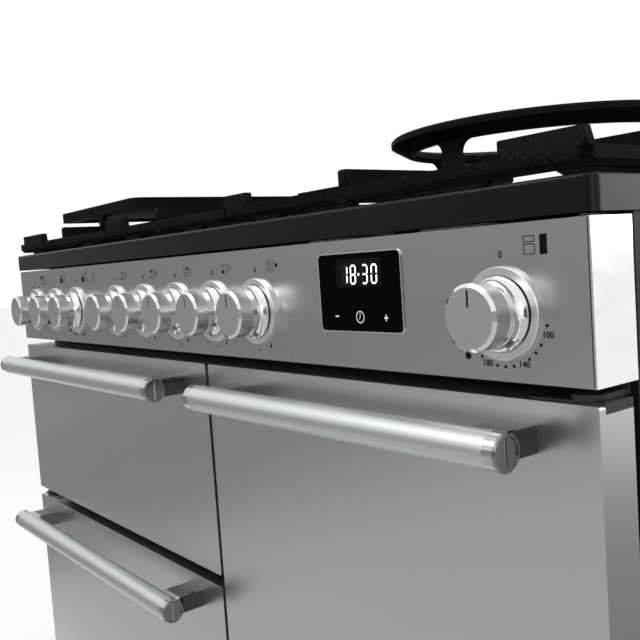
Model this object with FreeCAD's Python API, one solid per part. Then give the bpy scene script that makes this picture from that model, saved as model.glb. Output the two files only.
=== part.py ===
"""Freestanding range cooker of the 110 cm class with gas hob, grill and two ovens.

The front faces -Y, +X is to the right of someone standing at the front, +Z is up.
The origin is on the floor, at the middle of the overall box.  All sizes are in mm.
Front-to-back places are counted from the plane of the fascia, heights from the floor.
"""
import FreeCAD, Part
import math
import os

V = FreeCAD.Vector

# ---------------------------------------------------------------- driving dimensions
body_width = 1092.0         # fascia, doors and casing
body_depth = 600.0          # front of the fascia to the back edge of the hob
hob_height = 905.0          # floor to the top of the hob rim
hob_width = 1100.0
handle_reach = 55.5         # front of a handle ahead of the fascia

# hob tray
hob_edge = 24.5             # height of the visible edge
hob_lap = 3.0               # how far the edge stands ahead of the fascia
hob_corner = 10.0
hob_sheet = 1.5
hob_lip = 20.0              # turned-in lip that sits on the side panels
well_depth = 5.0
well_side = 24.0            # side of a well inside the edge of its pan support
well_end = 26.0             # front and back of a well inside the rails
well_corner = 25.0
flue_slots = 12
flue_half = 26.0            # half the length of a flue slot
flue_set = 28.0             # flue slots ahead of the back of the hob
flue_wide = 8.0

# fascia
fascia_height = 110.0
fascia_sheet = 1.5
hob_gap = 2.5               # fascia to hob edge
cheek_sheet = 1.5
cheek_groove = 1.0          # dark line between fascia front and end cheek
control_height = 48.0       # knob axis above the lower edge of the fascia
clock_width = 104.0
clock_height = 66.0
clock_inset = 224.5         # clock centre, from the right end
clock_rise = 65.0           # clock centre above the lower edge of the fascia
clock_proud = 1.8
clock_fit = 0.2

# knobs
knob_pitch = 83.8
oven_knobs_start = 69.6     # first oven knob from the left end
gas_knobs_start = 375.4     # first gas knob from the left end
last_knob_inset = 72.7      # right-hand oven knob from the right end
knob_radius = 23.5
knob_reach = 36.0           # knob face ahead of the fascia
knob_face_radius = 20.9
knob_band = 13.0            # brushed band behind the chamfer
knob_skirt_radius = 26.3
knob_skirt_reach = 5.2
bezel_radius = 33.0
bezel_inner = 27.3
bezel_thick = 4.0
bezel_floor = 1.0
spindle_radius = 3.0
running_fit = 0.05          # radial clearance of every shaft or pin that turns

# doors
casing_set = 47.0           # front of the casing behind the fascia
door_set = 0.8              # face of a door behind the fascia
door_depth = 38.8
door_sheet = 1.2
door_corner = 2.5
gap_under_fascia = 11.3
gap_between_doors = 13.6    # grill door to left oven door
grill_door_height = 242.8
left_door_width = 594.5
door_split = 6.0            # between the left doors and the tall door
door_bottom = 165.0
door_pan_depth = 22.0       # depth of the inner door pan
door_pan_sheet = 1.5
door_panel_border = 45.0
door_panel_recess = 6.0

# handles
handle_radius = 13.5
handle_wall = 1.5
handle_drop = 27.0          # handle axis below the top of its door
handle_cap = 11.0           # length of a polished end cap
bracket_width = 36.0
bracket_height = 21.0
bracket_inset_tall = 38.5   # outer bracket edge from the end of the tall door
bracket_inset_left = 38.5
handle_overhang = 9.5       # tube end beyond the bracket

# hinges
hinge_inset = 18.0          # side-door pivot from the hinge edge and from the fascia plane
hinge_pin = 4.0
hinge_lug_length = 60.0
hinge_lug_set = 7.0
hinge_lug_drop = 6.0
hinge_lug_proud = 1.2
hinge_plate = 4.0
hinge_seat = 0.3            # lug to bracket
hinge_tab = 3.0
hinge_tab_height = 9.3
grill_pin = 3.0
grill_pin_reach = 8.0       # pin beyond the ear on each side
grill_pivot_rise = 7.0      # pivot above the lower edge of the door
grill_pivot_set = 10.0      # pivot behind the fascia plane
grill_ear = 6.0
grill_ear_gap = 2.5
grill_hinge_inset = 60.0

# casing
casing_sheet = 1.5
frame_sheet = 2.0
base_sheet = 2.0
base_bottom = 56.0
base_top = 160.0
rear_void = 42.0            # space behind the back panel for pipe and cable
side_flange = 15.0
frame_top_rise = 8.0        # casing front above the lower edge of the fascia

# oven cavities
liner_sheet = 1.5
liner_flange = 14.0
liner_corner = 12.0
oven_depth = 400.0
grill_depth = 380.0
cavity_margin = 62.0        # cavity side from the edge of its door
oven_floor_rise = 30.0      # cavity floor above the lower edge of its door
oven_head_room = 25.0       # cavity roof below the upper edge of its door
grill_floor_rise = 26.0
seal_width = 8.0
seal_thick = 6.6
seal_gap = 3.0

# ladders, shelves, grill pan
ladder_bar = 8.0
rung_radius = 2.5
rung_step = 50.0
first_rung = 45.0           # above the cavity floor
shelf_wire = 3.0
shelf_bar = 1.8
shelf_back_gap = 9.0        # back of a shelf to the fan cover
runner_back_gap = 25.0      # end of a grill runner to the back wall
shelf_set = 22.0            # front of a shelf behind the casing front
shelf_bars = 11
lift_seat = 0.3             # under anything that lies loose on its seat
runner_rise = 60.0
runner_ledge = 14.0
pan_sheet = 1.2
pan_height = 34.0

# oven fans
fan_radius = 70.0
fan_blades = 12
fan_blade_depth = 20.0
fan_back_gap = 6.0
fan_shaft = 4.0
motor_radius = 35.0
motor_length = 40.0
fan_cover_depth = 36.0
fan_cover_border = 20.0     # side of a fan cover outside the ring element
fan_cover_slots = 24
element_radius = 88.0
element_wire = 3.5
element_ends = 18.0         # half the distance between the two cold ends of a ring

# base
roller_radius = 22.0
roller_width = 30.0
roller_axle = 5.0
roller_inset = 76.0
roller_from_back = 100.0
fork_plate = 4.0
foot_radius = 22.0
foot_thick = 8.0
foot_stem = 6.0
foot_inset = 66.0
foot_set = 48.0             # foot axis behind the casing front
plinth_gap = 6.0
plinth_sheet = 1.2
plinth_set = 5.0            # plinth ahead of the casing front

# storage drawer
drawer_gap = 11.3           # drawer front to door
drawer_front_bottom = 62.0
drawer_front_depth = 20.0
drawer_depth = 440.0
drawer_sheet = 1.2
drawer_bottom = 66.0
drawer_side_height = 78.0
rail_height = 12.2
rail_width = 10.0
rail_play = 0.4
rail_rise = 18.0            # slide rail above the bottom of the drawer
channel_sheet = 1.5

# pan supports
support_bounds = (0.5, 352.5, 655.5, 1093.5)   # from the left end of the casing
support_gap = 3.0
support_set = 2.0           # front rail behind the fascia plane
support_back = 42.0         # rear rail ahead of the back of the hob
rail_lift = 4.5             # underside of a rail above the hob rim
support_rail = 10.0         # rail width
rail_depth = 13.5           # rail height
rail_bevel = 4.5            # bevel under the outer edge of a rail
support_foot_half = 26.0
rail_foot_inset = 73.0      # middle of a foot from the end of its rail
wok_foot_inset = 110.0      # the same at the right end of the wok support
foot_draft = 8.0            # how much a support foot narrows at each end
support_corner = 8.0
finger_top = 33.0           # finger tops above the hob rim
finger_thick = 8.0
finger_tip_drop = 9.0
finger_taper = 32.0         # length over which a finger's underside rises to its tip
finger_clear = 28.0         # tip of a finger to the middle of a small burner
bar_pad = 52.0              # raised end of the bar between two burners
side_finger = 110.0         # length of the four fingers near the corners
side_finger_set = 100.0     # those fingers from the front and rear rails
left_tab = (23.0, 113.0)    # ends of the tab, from the left end of its support
centre_tab = (0.0, 59.0)
wok_tab = 45.0
end_tab = 72.0
tab_top = 30.0
tab_slope = 3.5

# burners: distance from the left end, distance behind the fascia, crown radius
burner_left = 200.0
burner_centre = 505.0
burner_wok = 850.0
burner_front = 150.0
burner_rear = 412.0
burner_middle = 281.0
crown_small = 26.0
crown_large = 36.0
crown_wok = 62.0
crown_height = 15.0
cap_thick = 5.0
burner_flange = 3.0

# griddle and wok cradle
griddle_width = 284.0
griddle_length = 430.0
griddle_thick = 15.5
griddle_lift = 16.5         # underside above the finger tops
griddle_left = 35.0         # from the left end of the casing
griddle_set = 62.0          # behind the fascia plane
griddle_corner = 18.0
cradle_radius = 158.0
cradle_height = 45.0        # top of the ring above the finger tops
cradle_rim = 6.6            # height of the outer edge of the ring
cradle_hoop = 16.0          # whole height of the ring, down to the tops of the openings
cradle_seat = 5.5           # fall of the coned seat
leg_half = 10.0
leg_flare = 4.0             # how much wider a leg is at its foot, on each side
leg_flare_rise = 14.0
leg_cove = 12.0             # radius between a leg and the ring
cradle_skirt = 142.0
cradle_wall = 8.0

# gas pipework
rail_pipe = 8.0
rail_set = 58.0             # gas rail behind the fascia plane
valve_width = 26.0
valve_height = 30.0
valve_set = 8.0
valve_depth = 36.0
inlet_bore = 10.3           # radius of the half-inch inlet socket
inlet_depth = 14.0
inlet_wall = 4.0

# ---------------------------------------------------------------- places that follow
x_left = -body_width / 2
x_right = body_width / 2
y_face = -(body_depth - handle_reach) / 2
y_back = y_face + body_depth
y_casing = y_face + casing_set
y_back_panel = y_back - rear_void
y_door = y_face + door_set
y_door_back = y_door + door_depth
z_tray = hob_height - hob_edge
z_fascia_top = z_tray - hob_gap
z_fascia = z_fascia_top - fascia_height
z_control = z_fascia + control_height
z_door_top = z_fascia - gap_under_fascia
z_grill_door = z_door_top - grill_door_height
z_left_door_top = z_grill_door - gap_between_doors
z_frame_top = z_fascia + frame_top_rise
x_left_door_end = x_left + left_door_width
x_tall_door = x_left_door_end + door_split
z_drawer_top = door_bottom - drawer_gap
y_cavity = y_casing + frame_sheet
shelf_depth = frame_sheet + oven_depth - fan_cover_depth - shelf_back_gap - shelf_set
runner_length = frame_sheet + grill_depth - runner_back_gap - shelf_set
fan_cover_width = 2 * (element_radius + element_wire + fan_cover_border)

# (left, right, floor, roof, depth) of each cavity
grill_cavity = (x_left + cavity_margin, x_left_door_end - cavity_margin,
                z_grill_door + grill_floor_rise, z_door_top - oven_head_room, grill_depth)
left_cavity = (x_left + cavity_margin, x_left_door_end - cavity_margin,
               door_bottom + oven_floor_rise, z_left_door_top - oven_head_room, oven_depth)
right_cavity = (x_tall_door + cavity_margin, x_right - cavity_margin,
                door_bottom + oven_floor_rise, z_door_top - oven_head_room, oven_depth)

oven_knob_x = [x_left + oven_knobs_start + knob_pitch * n for n in range(3)]
oven_knob_x.append(x_right - last_knob_inset)
gas_knob_x = [x_left + gas_knobs_start + knob_pitch * n for n in range(5)]

z_rim = hob_height
z_well = z_rim - well_depth
z_rail = z_rim + rail_lift
z_rail_top = z_rail + rail_depth
z_finger = z_rim + finger_top
y_support = y_face + support_set
y_support_back = y_back - support_back

# (x, y, crown radius) of the burners, in the order of the gas knobs
burners = [
    (x_left + burner_left, y_face + burner_front, crown_large),
    (x_left + burner_left, y_face + burner_rear, crown_small),
    (x_left + burner_centre, y_face + burner_rear, crown_large),
    (x_left + burner_centre, y_face + burner_front, crown_small),
    (x_left + burner_wok, y_face + burner_middle, crown_wok),
]


# ---------------------------------------------------------------- shape helpers
def block(x0, x1, y0, y1, z0, z1):
    """Box between two corners."""
    return Part.makeBox(x1 - x0, y1 - y0, z1 - z0, V(x0, y0, z0))


def rod(radius, start, axis, length):
    """Round bar from a start point along an axis."""
    return Part.makeCylinder(radius, length, V(*start), V(*axis))


def joined(solids):
    """One solid from pieces that overlap."""
    whole = solids[0].fuse(solids[1:]) if len(solids) > 1 else solids[0]
    return whole.removeSplitter()


def without(solid, cutters):
    """A solid less its cut-outs."""
    return solid.cut(Part.makeCompound(cutters))


def edges_along(solid, axis):
    """Straight edges of a solid that run along an axis."""
    chosen = []
    for edge in solid.Edges:
        step = edge.Vertexes[-1].Point - edge.Vertexes[0].Point
        if step.Length > 0.01 and step.cross(axis).Length < 1e-6 * step.Length:
            chosen.append(edge)
    return chosen


def rounded(solid, radius, axis):
    """A box with its four edges along one axis rounded."""
    return solid.makeFillet(radius, edges_along(solid, axis))


def plate_xz(x0, x1, z0, z1, y0, y1, radius):
    """Upright plate with rounded corners."""
    return rounded(block(x0, x1, y0, y1, z0, z1), radius, V(0, 1, 0))


def plate_xy(x0, x1, y0, y1, z0, z1, radius):
    """Level plate with rounded corners."""
    return rounded(block(x0, x1, y0, y1, z0, z1), radius, V(0, 0, 1))


def outline(points):
    """Closed wire through points; a pair (via, end) makes an arc."""
    edges = []
    here = points[0]
    for point in points[1:] + [points[0]]:
        if isinstance(point, tuple):
            via, end = point
            edges.append(Part.Arc(here, via, end).toShape())
            here = end
        elif here.distanceToPoint(point) > 1e-7:
            edges.append(Part.LineSegment(here, point).toShape())
            here = point
    return Part.Wire(edges)


def turned(profile, centre, axis=V(0, 0, 1)):
    """Solid of revolution; the profile gives (radius, height) along the axis."""
    points = []
    for step in profile:
        if len(step) == 4:
            points.append((V(step[0], 0, step[1]), V(step[2], 0, step[3])))
        else:
            points.append(V(step[0], 0, step[1]))
    solid = Part.Face(outline(points)).revolve(V(0, 0, 0), V(0, 0, 1), 360)
    solid.Placement = FreeCAD.Placement(V(*centre), FreeCAD.Rotation(V(0, 0, 1), axis))
    return solid


def prism(points, thickness):
    """Solid from a closed outline, pushed along a vector."""
    return Part.Face(outline(points)).extrude(thickness)


def spun(solid, centre, angle, axis=V(0, 0, 1)):
    """A copy turned about an axis through a point."""
    copy = solid.copy()
    copy.rotate(V(*centre), axis, angle)
    return copy


def pattern(solid, centre, count, axis=V(0, 0, 1)):
    """Copies of a solid spaced evenly round an axis."""
    return [spun(solid, centre, 360.0 * n / count, axis) for n in range(count)]


def mirrored(solid, x=0.0):
    """A copy mirrored left to right about a plane at x."""
    return solid.mirror(V(x, 0, 0), V(1, 0, 0))


# ---------------------------------------------------------------- base and casing
roller_x = [x_left + roller_inset, x_right - roller_inset]
y_roller = y_back - roller_from_back
foot_x = [x_left + foot_inset, x_right - foot_inset]
y_foot = y_casing + foot_set
base_half = body_width / 2 - casing_sheet
drawer_half = base_half - base_sheet - channel_sheet - rail_width - rail_play
z_rail_mid = drawer_bottom + rail_rise + rail_height / 2


def runner_channel():
    """Left-hand channel in which the drawer rail slides."""
    outer = -base_half + base_sheet
    inner = -drawer_half - rail_play
    half = rail_height / 2 + rail_play
    length = drawer_depth - casing_set
    channel = block(outer, inner, y_casing, y_casing + length,
                    z_rail_mid - half - channel_sheet, z_rail_mid + half + channel_sheet)
    slot = block(outer + channel_sheet, inner, y_casing, y_casing + length,
                 z_rail_mid - half, z_rail_mid + half)
    return channel.cut(slot)


def roller_fork(x):
    """Two ears under the base that carry one rear roller."""
    ears = []
    gap = roller_width / 2 + 1.0
    reach = 2.4 * roller_axle
    for side in (-1, 1):
        near = x + side * gap
        far = near + side * fork_plate
        x0, x1 = min(near, far), max(near, far)
        points = [
            V(x0, y_roller - 2 * reach, base_bottom),
            V(x0, y_roller - reach, roller_radius),
            (V(x0, y_roller, roller_radius - reach), V(x0, y_roller + reach, roller_radius)),
            V(x0, y_roller + 2 * reach, base_bottom),
        ]
        ears.append(prism(points, V(x1 - x0, 0, 0)))
    return ears


def base_frame():
    """Box under the ovens, open at the front for the drawer."""
    shell = block(-base_half, base_half, y_casing, y_back_panel, base_bottom, base_top)
    inside = block(-base_half + base_sheet, base_half - base_sheet, y_casing,
                   y_back_panel - base_sheet, base_bottom + base_sheet, base_top - base_sheet)
    parts = [shell.cut(inside), runner_channel(), mirrored(runner_channel())]
    holes = []
    for x in roller_x:
        parts += roller_fork(x)
        holes.append(rod(roller_axle + running_fit, (x - roller_width, y_roller, roller_radius),
                         (1, 0, 0), 2 * roller_width))
    for x in foot_x:
        parts.append(rod(2 * foot_stem, (x, y_foot, base_bottom - 2 * foot_stem), (0, 0, 1),
                         2 * foot_stem))
        holes.append(rod(foot_stem + running_fit, (x, y_foot, foot_thick), (0, 0, 1),
                         base_bottom + base_sheet))
    return [without(joined(parts), holes)]


def rear_rollers():
    """Two rollers with their axles, which turn in the forks."""
    rollers = []
    half = roller_width / 2
    reach = half + 1.0 + fork_plate + 1.0
    for x in roller_x:
        profile = [(0, -reach), (roller_axle, -reach), (roller_axle, -half),
                   (roller_radius - 2, -half), (roller_radius, -half + 2),
                   (roller_radius, half - 2), (roller_radius - 2, half),
                   (roller_axle, half), (roller_axle, reach), (0, reach)]
        rollers.append(turned(profile, (x, y_roller, roller_radius), V(1, 0, 0)))
    return rollers


def front_feet():
    """Levelling feet: pad, hexagon and threaded stem."""
    feet = []
    for x in foot_x:
        pad = turned([(0, 0), (foot_radius - 2, 0), (foot_radius, 2), (foot_radius, foot_thick - 2),
                      (foot_radius - 2, foot_thick), (0, foot_thick)], (x, y_foot, 0))
        corners = []
        for n in range(6):
            turn = math.radians(60 * n)
            corners.append(V(x + 2 * foot_stem * math.cos(turn), y_foot + 2 * foot_stem * math.sin(turn),
                             foot_thick))
        nut = prism(corners, V(0, 0, foot_stem))
        stem = rod(foot_stem, (x, y_foot, foot_thick), (0, 0, 1), base_bottom - foot_thick)
        feet.append(joined([pad, nut, stem]))
    return feet


def plinth():
    """Folded kick plate under the drawer."""
    front = y_casing - plinth_set
    depth = 4 * plinth_set
    half = base_half
    plate = block(-half, half, front, front + depth, plinth_gap, base_bottom)
    inside = block(-half + plinth_sheet, half - plinth_sheet, front + plinth_sheet, front + depth,
                   plinth_gap, base_bottom - plinth_sheet)
    return [plate.cut(inside)]


def side_panels():
    """Side panels with a top flange under the hob and a turned rear edge."""
    y0 = y_casing + frame_sheet
    sheet = block(x_left, x_left + casing_sheet, y0, y_back, base_bottom, z_tray)
    top = block(x_left, x_left + side_flange, y0, y_back, z_tray - casing_sheet, z_tray)
    rear = block(x_left, x_left + side_flange, y_back - casing_sheet, y_back, base_bottom, z_tray)
    panel = joined([sheet, top, rear])
    return [panel, mirrored(panel)]


vent_rows = 7
vent_pitch = 18.0
vent_length = 90.0
vent_height = 6.0
vent_middles = (-249.0, 300.0)
z_vents = 300.0
inlet_x = 430.0
terminal_x = -400.0
terminal_width = 130.0
terminal_height = 100.0
terminal_depth = 32.0
terminal_bottom = 640.0
cable_entry = 10.5          # radius of the mains cable entry


def terminal_cover():
    """Pressed cover over the mains terminals, with a bushed cable entry underneath."""
    x0, x1 = terminal_x - terminal_width / 2, terminal_x + terminal_width / 2
    y0 = y_back_panel + casing_sheet
    z0, z1 = terminal_bottom, terminal_bottom + terminal_height
    points = [V(x0, y0, z0), V(x0, y0 + terminal_depth, z0),
              V(x0, y0 + terminal_depth, z1 - terminal_depth / 2), V(x0, y0, z1)]
    cover = prism(points, V(terminal_width, 0, 0))
    y_entry = y0 + terminal_depth / 2
    bush = rod(cable_entry + 3, (terminal_x, y_entry, z0 - 8), (0, 0, 1), 8)
    entry = rod(cable_entry, (terminal_x, y_entry, z0 - 9), (0, 0, 1), 9 + terminal_height / 3)
    return joined([cover, bush]).cut(entry)


def back_panel():
    """Back sheet with vent slots behind the oven fans, a pipe hole and the terminal cover."""
    sheet = block(-base_half, base_half, y_back_panel, y_back_panel + casing_sheet,
                  base_bottom, z_tray - casing_sheet)
    slots = []
    for middle in vent_middles:
        for row in range(vent_rows):
            z = z_vents + row * vent_pitch
            slot = plate_xz(middle - vent_length / 2, middle + vent_length / 2, z, z + vent_height,
                            y_back_panel - 1, y_back_panel + casing_sheet + 1, vent_height / 2 - 0.01)
            slots.append(slot)
    slots.append(rod(rail_pipe + 4, (inlet_x, y_back_panel - 1, z_control), (0, 1, 0), 4))
    return [without(sheet, slots), terminal_cover()]


def front_frame():
    """Casing front with an opening for each cavity."""
    plate = block(x_left, x_right, y_casing, y_casing + frame_sheet, base_top, z_frame_top)
    openings = []
    for x0, x1, z0, z1, depth in (grill_cavity, left_cavity, right_cavity):
        openings.append(plate_xz(x0, x1, z0, z1, y_casing - 1, y_cavity + 1, liner_corner))
    return [without(plate, openings)]


# ---------------------------------------------------------------- cavities
def liner(cavity, holes):
    """Enamelled cavity, open at the front, with a flange behind the casing front."""
    x0, x1, z0, z1, depth = cavity
    wall = liner_sheet
    back = y_cavity + depth
    shell = plate_xz(x0 - wall, x1 + wall, z0 - wall, z1 + wall, y_cavity, back + wall,
                     liner_corner + wall)
    reach = liner_flange + wall
    flange = plate_xz(x0 - reach, x1 + reach, z0 - reach, z1 + reach, y_cavity, y_cavity + wall,
                      liner_corner + reach)
    inside = plate_xz(x0, x1, z0, z1, y_cavity - 1, back, liner_corner)
    return without(shell.fuse(flange), [inside] + holes).removeSplitter()


def cavity_back(cavity):
    """Middle of the rear wall of a cavity, on its inner face."""
    x0, x1, z0, z1, depth = cavity
    return ((x0 + x1) / 2, y_cavity + depth, (z0 + z1) / 2)


def shaft_hole(cavity):
    x, y, z = cavity_back(cavity)
    return rod(2 * fan_shaft, (x, y - 1, z), (0, 1, 0), liner_sheet + 2)


def door_seals():
    """Seals round the three openings, on the casing front."""
    seals = []
    for x0, x1, z0, z1, depth in (grill_cavity, left_cavity, right_cavity):
        inner = seal_gap
        outer = seal_gap + seal_width
        ring = plate_xz(x0 - outer, x1 + outer, z0 - outer, z1 + outer,
                        y_casing - seal_thick, y_casing, liner_corner + outer)
        hole = plate_xz(x0 - inner, x1 + inner, z0 - inner, z1 + inner,
                        y_casing - seal_thick - 1, y_casing + 1, liner_corner + inner)
        seals.append(ring.cut(hole))
    return seals


def rung_heights(cavity):
    x0, x1, z0, z1, depth = cavity
    count = int((z1 - z0 - first_rung) / rung_step)
    return [z0 + first_rung + rung_step * n for n in range(count)]


def ladder(cavity):
    """Left-hand shelf ladder of a cavity: two uprights on the wall and round rungs."""
    x0, x1, z0, z1, depth = cavity
    front = y_casing + shelf_set
    heights = rung_heights(cavity)
    low = heights[0] - 2 * ladder_bar
    high = heights[-1] + 2 * ladder_bar
    parts = []
    for y in (front + 3 * ladder_bar, front + shelf_depth - 3 * ladder_bar):
        parts.append(block(x0, x0 + ladder_bar, y, y + ladder_bar, low, high))
    for z in heights:
        centre = x0 + ladder_bar + rung_radius - 0.5
        parts.append(rod(rung_radius, (centre, front, z), (0, 1, 0), shelf_depth))
    return joined(parts)


def grill_runner():
    """Left-hand ledge that carries the grill pan."""
    x0, x1, z0, z1, depth = grill_cavity
    ledge = z0 + runner_rise
    front = y_casing + shelf_set
    wall = block(x0, x0 + casing_sheet, front, front + runner_length, ledge - casing_sheet,
                 ledge + runner_ledge)
    foot = block(x0, x0 + runner_ledge, front, front + runner_length, ledge - casing_sheet, ledge)
    return joined([wall, foot])


def shelf_ladders():
    """Ladders of both ovens and the grill pan runners."""
    pieces = []
    for cavity, side in ((left_cavity, ladder(left_cavity)), (right_cavity, ladder(right_cavity)),
                         (grill_cavity, grill_runner())):
        middle = (cavity[0] + cavity[1]) / 2
        pieces += [side, mirrored(side, middle)]
    return pieces


def oven_shelf(cavity, level):
    """Wire shelf: a round frame with bars from front to back."""
    x0, x1, z0, z1, depth = cavity
    rung = rung_heights(cavity)[level]
    z = rung + rung_radius + lift_seat + shelf_wire
    left = x0 + ladder_bar + shelf_wire + 0.5
    right = x1 - ladder_bar - shelf_wire - 0.5
    front = y_casing + shelf_set + shelf_wire
    back = front + shelf_depth - 2 * shelf_wire
    parts = [
        rod(shelf_wire, (left, front, z), (0, 1, 0), back - front),
        rod(shelf_wire, (right, front, z), (0, 1, 0), back - front),
        rod(shelf_wire, (left, front, z), (1, 0, 0), right - left),
        rod(shelf_wire, (left, back, z), (1, 0, 0), right - left),
    ]
    parts += [Part.makeSphere(shelf_wire, V(x, y, z)) for x in (left, right) for y in (front, back)]
    step = (right - left) / (shelf_bars + 1)
    for n in range(1, shelf_bars + 1):
        parts.append(rod(shelf_bar, (left + n * step, front, z), (0, 1, 0), back - front))
    return [joined(parts)]


def grill_pan():
    """Enamelled pan on the grill runners, with a rolled rim."""
    x0, x1, z0, z1, depth = grill_cavity
    ledge = z0 + runner_rise
    left = x0 + casing_sheet + 1.0
    right = x1 - casing_sheet - 1.0
    front = y_casing + shelf_set
    back = front + runner_length - 10
    inset = runner_ledge + 2
    bottom = ledge - pan_height + 8
    rim = ledge + lift_seat
    body = plate_xy(left + inset, right - inset, front, back, bottom, rim + pan_sheet, 20)
    flange = plate_xy(left, right, front, back, rim, rim + pan_sheet, 20)
    hollow = plate_xy(left + inset + pan_sheet, right - inset - pan_sheet, front + pan_sheet,
                      back - pan_sheet, bottom + pan_sheet, rim + pan_sheet + 1, 20 - pan_sheet)
    return [body.fuse(flange).cut(hollow).removeSplitter()]


def fan(cavity):
    """Convection fan: hub and shaft, disc and straight blades."""
    x, y, z = cavity_back(cavity)
    y_disc = y - fan_back_gap
    shaft_end = y + liner_sheet + 2.0 + motor_length - 8
    shaft = rod(fan_shaft, (x, y_disc - fan_blade_depth, z), (0, 1, 0),
                shaft_end - y_disc + fan_blade_depth)
    hub = rod(2 * fan_shaft, (x, y_disc - fan_blade_depth / 2, z), (0, 1, 0), fan_blade_depth / 2)
    disc = rod(fan_radius, (x, y_disc - casing_sheet, z), (0, 1, 0), casing_sheet)
    blade = block(x - casing_sheet / 2, x + casing_sheet / 2, y_disc - fan_blade_depth, y_disc,
                  z + fan_radius * 0.6, z + fan_radius - 1)
    blade = spun(blade, (x, y, z + fan_radius * 0.8), 35, V(0, 1, 0))
    return [joined([shaft, hub, disc] + pattern(blade, (x, y, z), fan_blades, V(0, 1, 0)))]


def fan_motors():
    """Fan motors on the back of both ovens, with the bearing for the shaft."""
    motors = []
    for cavity in (left_cavity, right_cavity):
        x, y, z = cavity_back(cavity)
        y += liner_sheet
        profile = [(fan_shaft + running_fit, 0), (1.6 * motor_radius, 0), (1.6 * motor_radius, 2),
                   (motor_radius, 2), (motor_radius, motor_length - 4),
                   (motor_radius - 4, motor_length), (fan_shaft + running_fit, motor_length)]
        motors.append(turned(profile, (x, y, z), V(0, 1, 0)))
    return motors


def fan_cover(cavity):
    """Baffle in front of a fan, with a rose of slots in the middle and slots at the sides."""
    x, y, z = cavity_back(cavity)
    half = fan_cover_width / 2
    front = y - fan_cover_depth
    tray = plate_xz(x - half, x + half, z - half, z + half, front, y, liner_corner)
    inner = half - liner_sheet
    hollow = plate_xz(x - inner, x + inner, z - inner, z + inner, front + liner_sheet, y + 1,
                      liner_corner - liner_sheet)
    slots = []
    rose = block(x - 3, x + 3, front - 1, front + liner_sheet + 1, z + 34, z + 68)
    slots += pattern(rose, (x, y, z), fan_cover_slots, V(0, 1, 0))
    for side in (-1, 1):
        for n in range(5):
            z_slot = z + (n - 2) * 40 - 12
            x_slot = x + side * (half - 1)
            slots.append(block(x_slot - 3, x_slot + 3, front + 8, y - 8, z_slot, z_slot + 24))
    return without(tray.cut(hollow), slots)


def ring_element(cavity):
    """Ring element round a fan, with its two cold ends through the rear wall."""
    x, y, z = cavity_back(cavity)
    y_ring = y - fan_cover_depth / 2
    ring = Part.makeTorus(element_radius, element_wire, V(x, y_ring, z), V(0, 1, 0))
    z_end = z - math.sqrt(element_radius ** 2 - element_ends ** 2)
    ends = [rod(element_wire + 1, (x_end, y_ring, z_end), (0, 1, 0), y - y_ring)
            for x_end in (x - element_ends, x + element_ends)]
    return joined([ring] + ends)


grill_runs = 6
grill_run_length = 250.0
grill_run_pitch = 56.0


def grill_element():
    """Serpentine grill element under the roof of the grill chamber, on two hangers."""
    x0, x1, z0, z1, depth = grill_cavity
    z = z1 - 22
    bend = grill_run_pitch / 2
    first = (x0 + x1) / 2 - (grill_runs - 1) * bend
    front = y_cavity + 60
    back = front + grill_run_length
    parts = []
    for n in range(grill_runs):
        x = first + n * grill_run_pitch
        end = y_cavity + depth if n in (0, grill_runs - 1) else back
        parts.append(rod(element_wire, (x, front, z), (0, 1, 0), end - front))
        if n < grill_runs - 1:
            at_front = n % 2 == 0
            centre = V(x + bend, front if at_front else back, z)
            half_ring = Part.makeTorus(bend, element_wire, V(0, 0, 0), V(0, 0, 1), -180, 180, 180)
            half_ring.rotate(V(0, 0, 0), V(0, 0, 1), 180 if at_front else 0)
            half_ring.translate(centre)
            parts.append(half_ring)
    last = first + (grill_runs - 1) * grill_run_pitch
    for y in (front + 40, back - 40):
        parts.append(block(first - 8, last + 8, y, y + 3, z, z1))
    return joined(parts)


def heating_elements():
    return [ring_element(left_cavity), ring_element(right_cavity), grill_element()]


# ---------------------------------------------------------------- doors and drawer
def door_skin(x0, x1, z0, z1, notches):
    """Folded steel door front, open at the back."""
    outer = block(x0, x1, y_door, y_door_back, z0, z1)
    front_edges = edges_along(outer, V(0, 1, 0))
    outer = outer.makeFillet(door_corner, front_edges)
    inner = block(x0 + door_sheet, x1 - door_sheet, y_door + door_sheet, y_door_back + 1,
                  z0 + door_sheet, z1 - door_sheet)
    return without(outer.cut(inner), notches)


def door_pan(x0, x1, z0, z1, extras, holes):
    """Inner door pan: a folded tray that closes the door at the back, with a pressed panel."""
    left, right = x0 + door_sheet, x1 - door_sheet
    low, high = z0 + door_sheet, z1 - door_sheet
    front = y_door_back - door_pan_depth
    sheet = door_pan_sheet
    tray = block(left, right, front, y_door_back, low, high)
    tray = tray.cut(block(left + sheet, right - sheet, front - 1, y_door_back - sheet,
                          low + sheet, high - sheet))
    rim = door_panel_border
    step = door_panel_recess
    shell = plate_xz(left + rim - sheet, right - rim + sheet, low + rim - sheet, high - rim + sheet,
                     y_door_back - step - sheet, y_door_back, liner_corner + sheet)
    dish = plate_xz(left + rim, right - rim, low + rim, high - rim,
                    y_door_back - step, y_door_back + 1, liner_corner)
    return without(joined([tray, shell] + extras), [dish] + holes)


def side_hinge_pivot(edge, side):
    """Pivot of a side-hung door; side is -1 for a left edge, 1 for a right edge."""
    return edge - side * hinge_inset, y_face + hinge_inset


def hinge_lug_space(edge, side, z_door_edge, up, proud, past=0):
    """Space of a hinge lug at a door corner; up is 1 at the top of the door, -1 at the bottom."""
    xs = sorted((edge + side * past, edge - side * hinge_lug_length))
    zs = sorted((z_door_edge - up * hinge_lug_drop, z_door_edge + up * proud))
    return block(xs[0], xs[1], y_door + hinge_lug_set, y_door_back, zs[0], zs[1])


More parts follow.
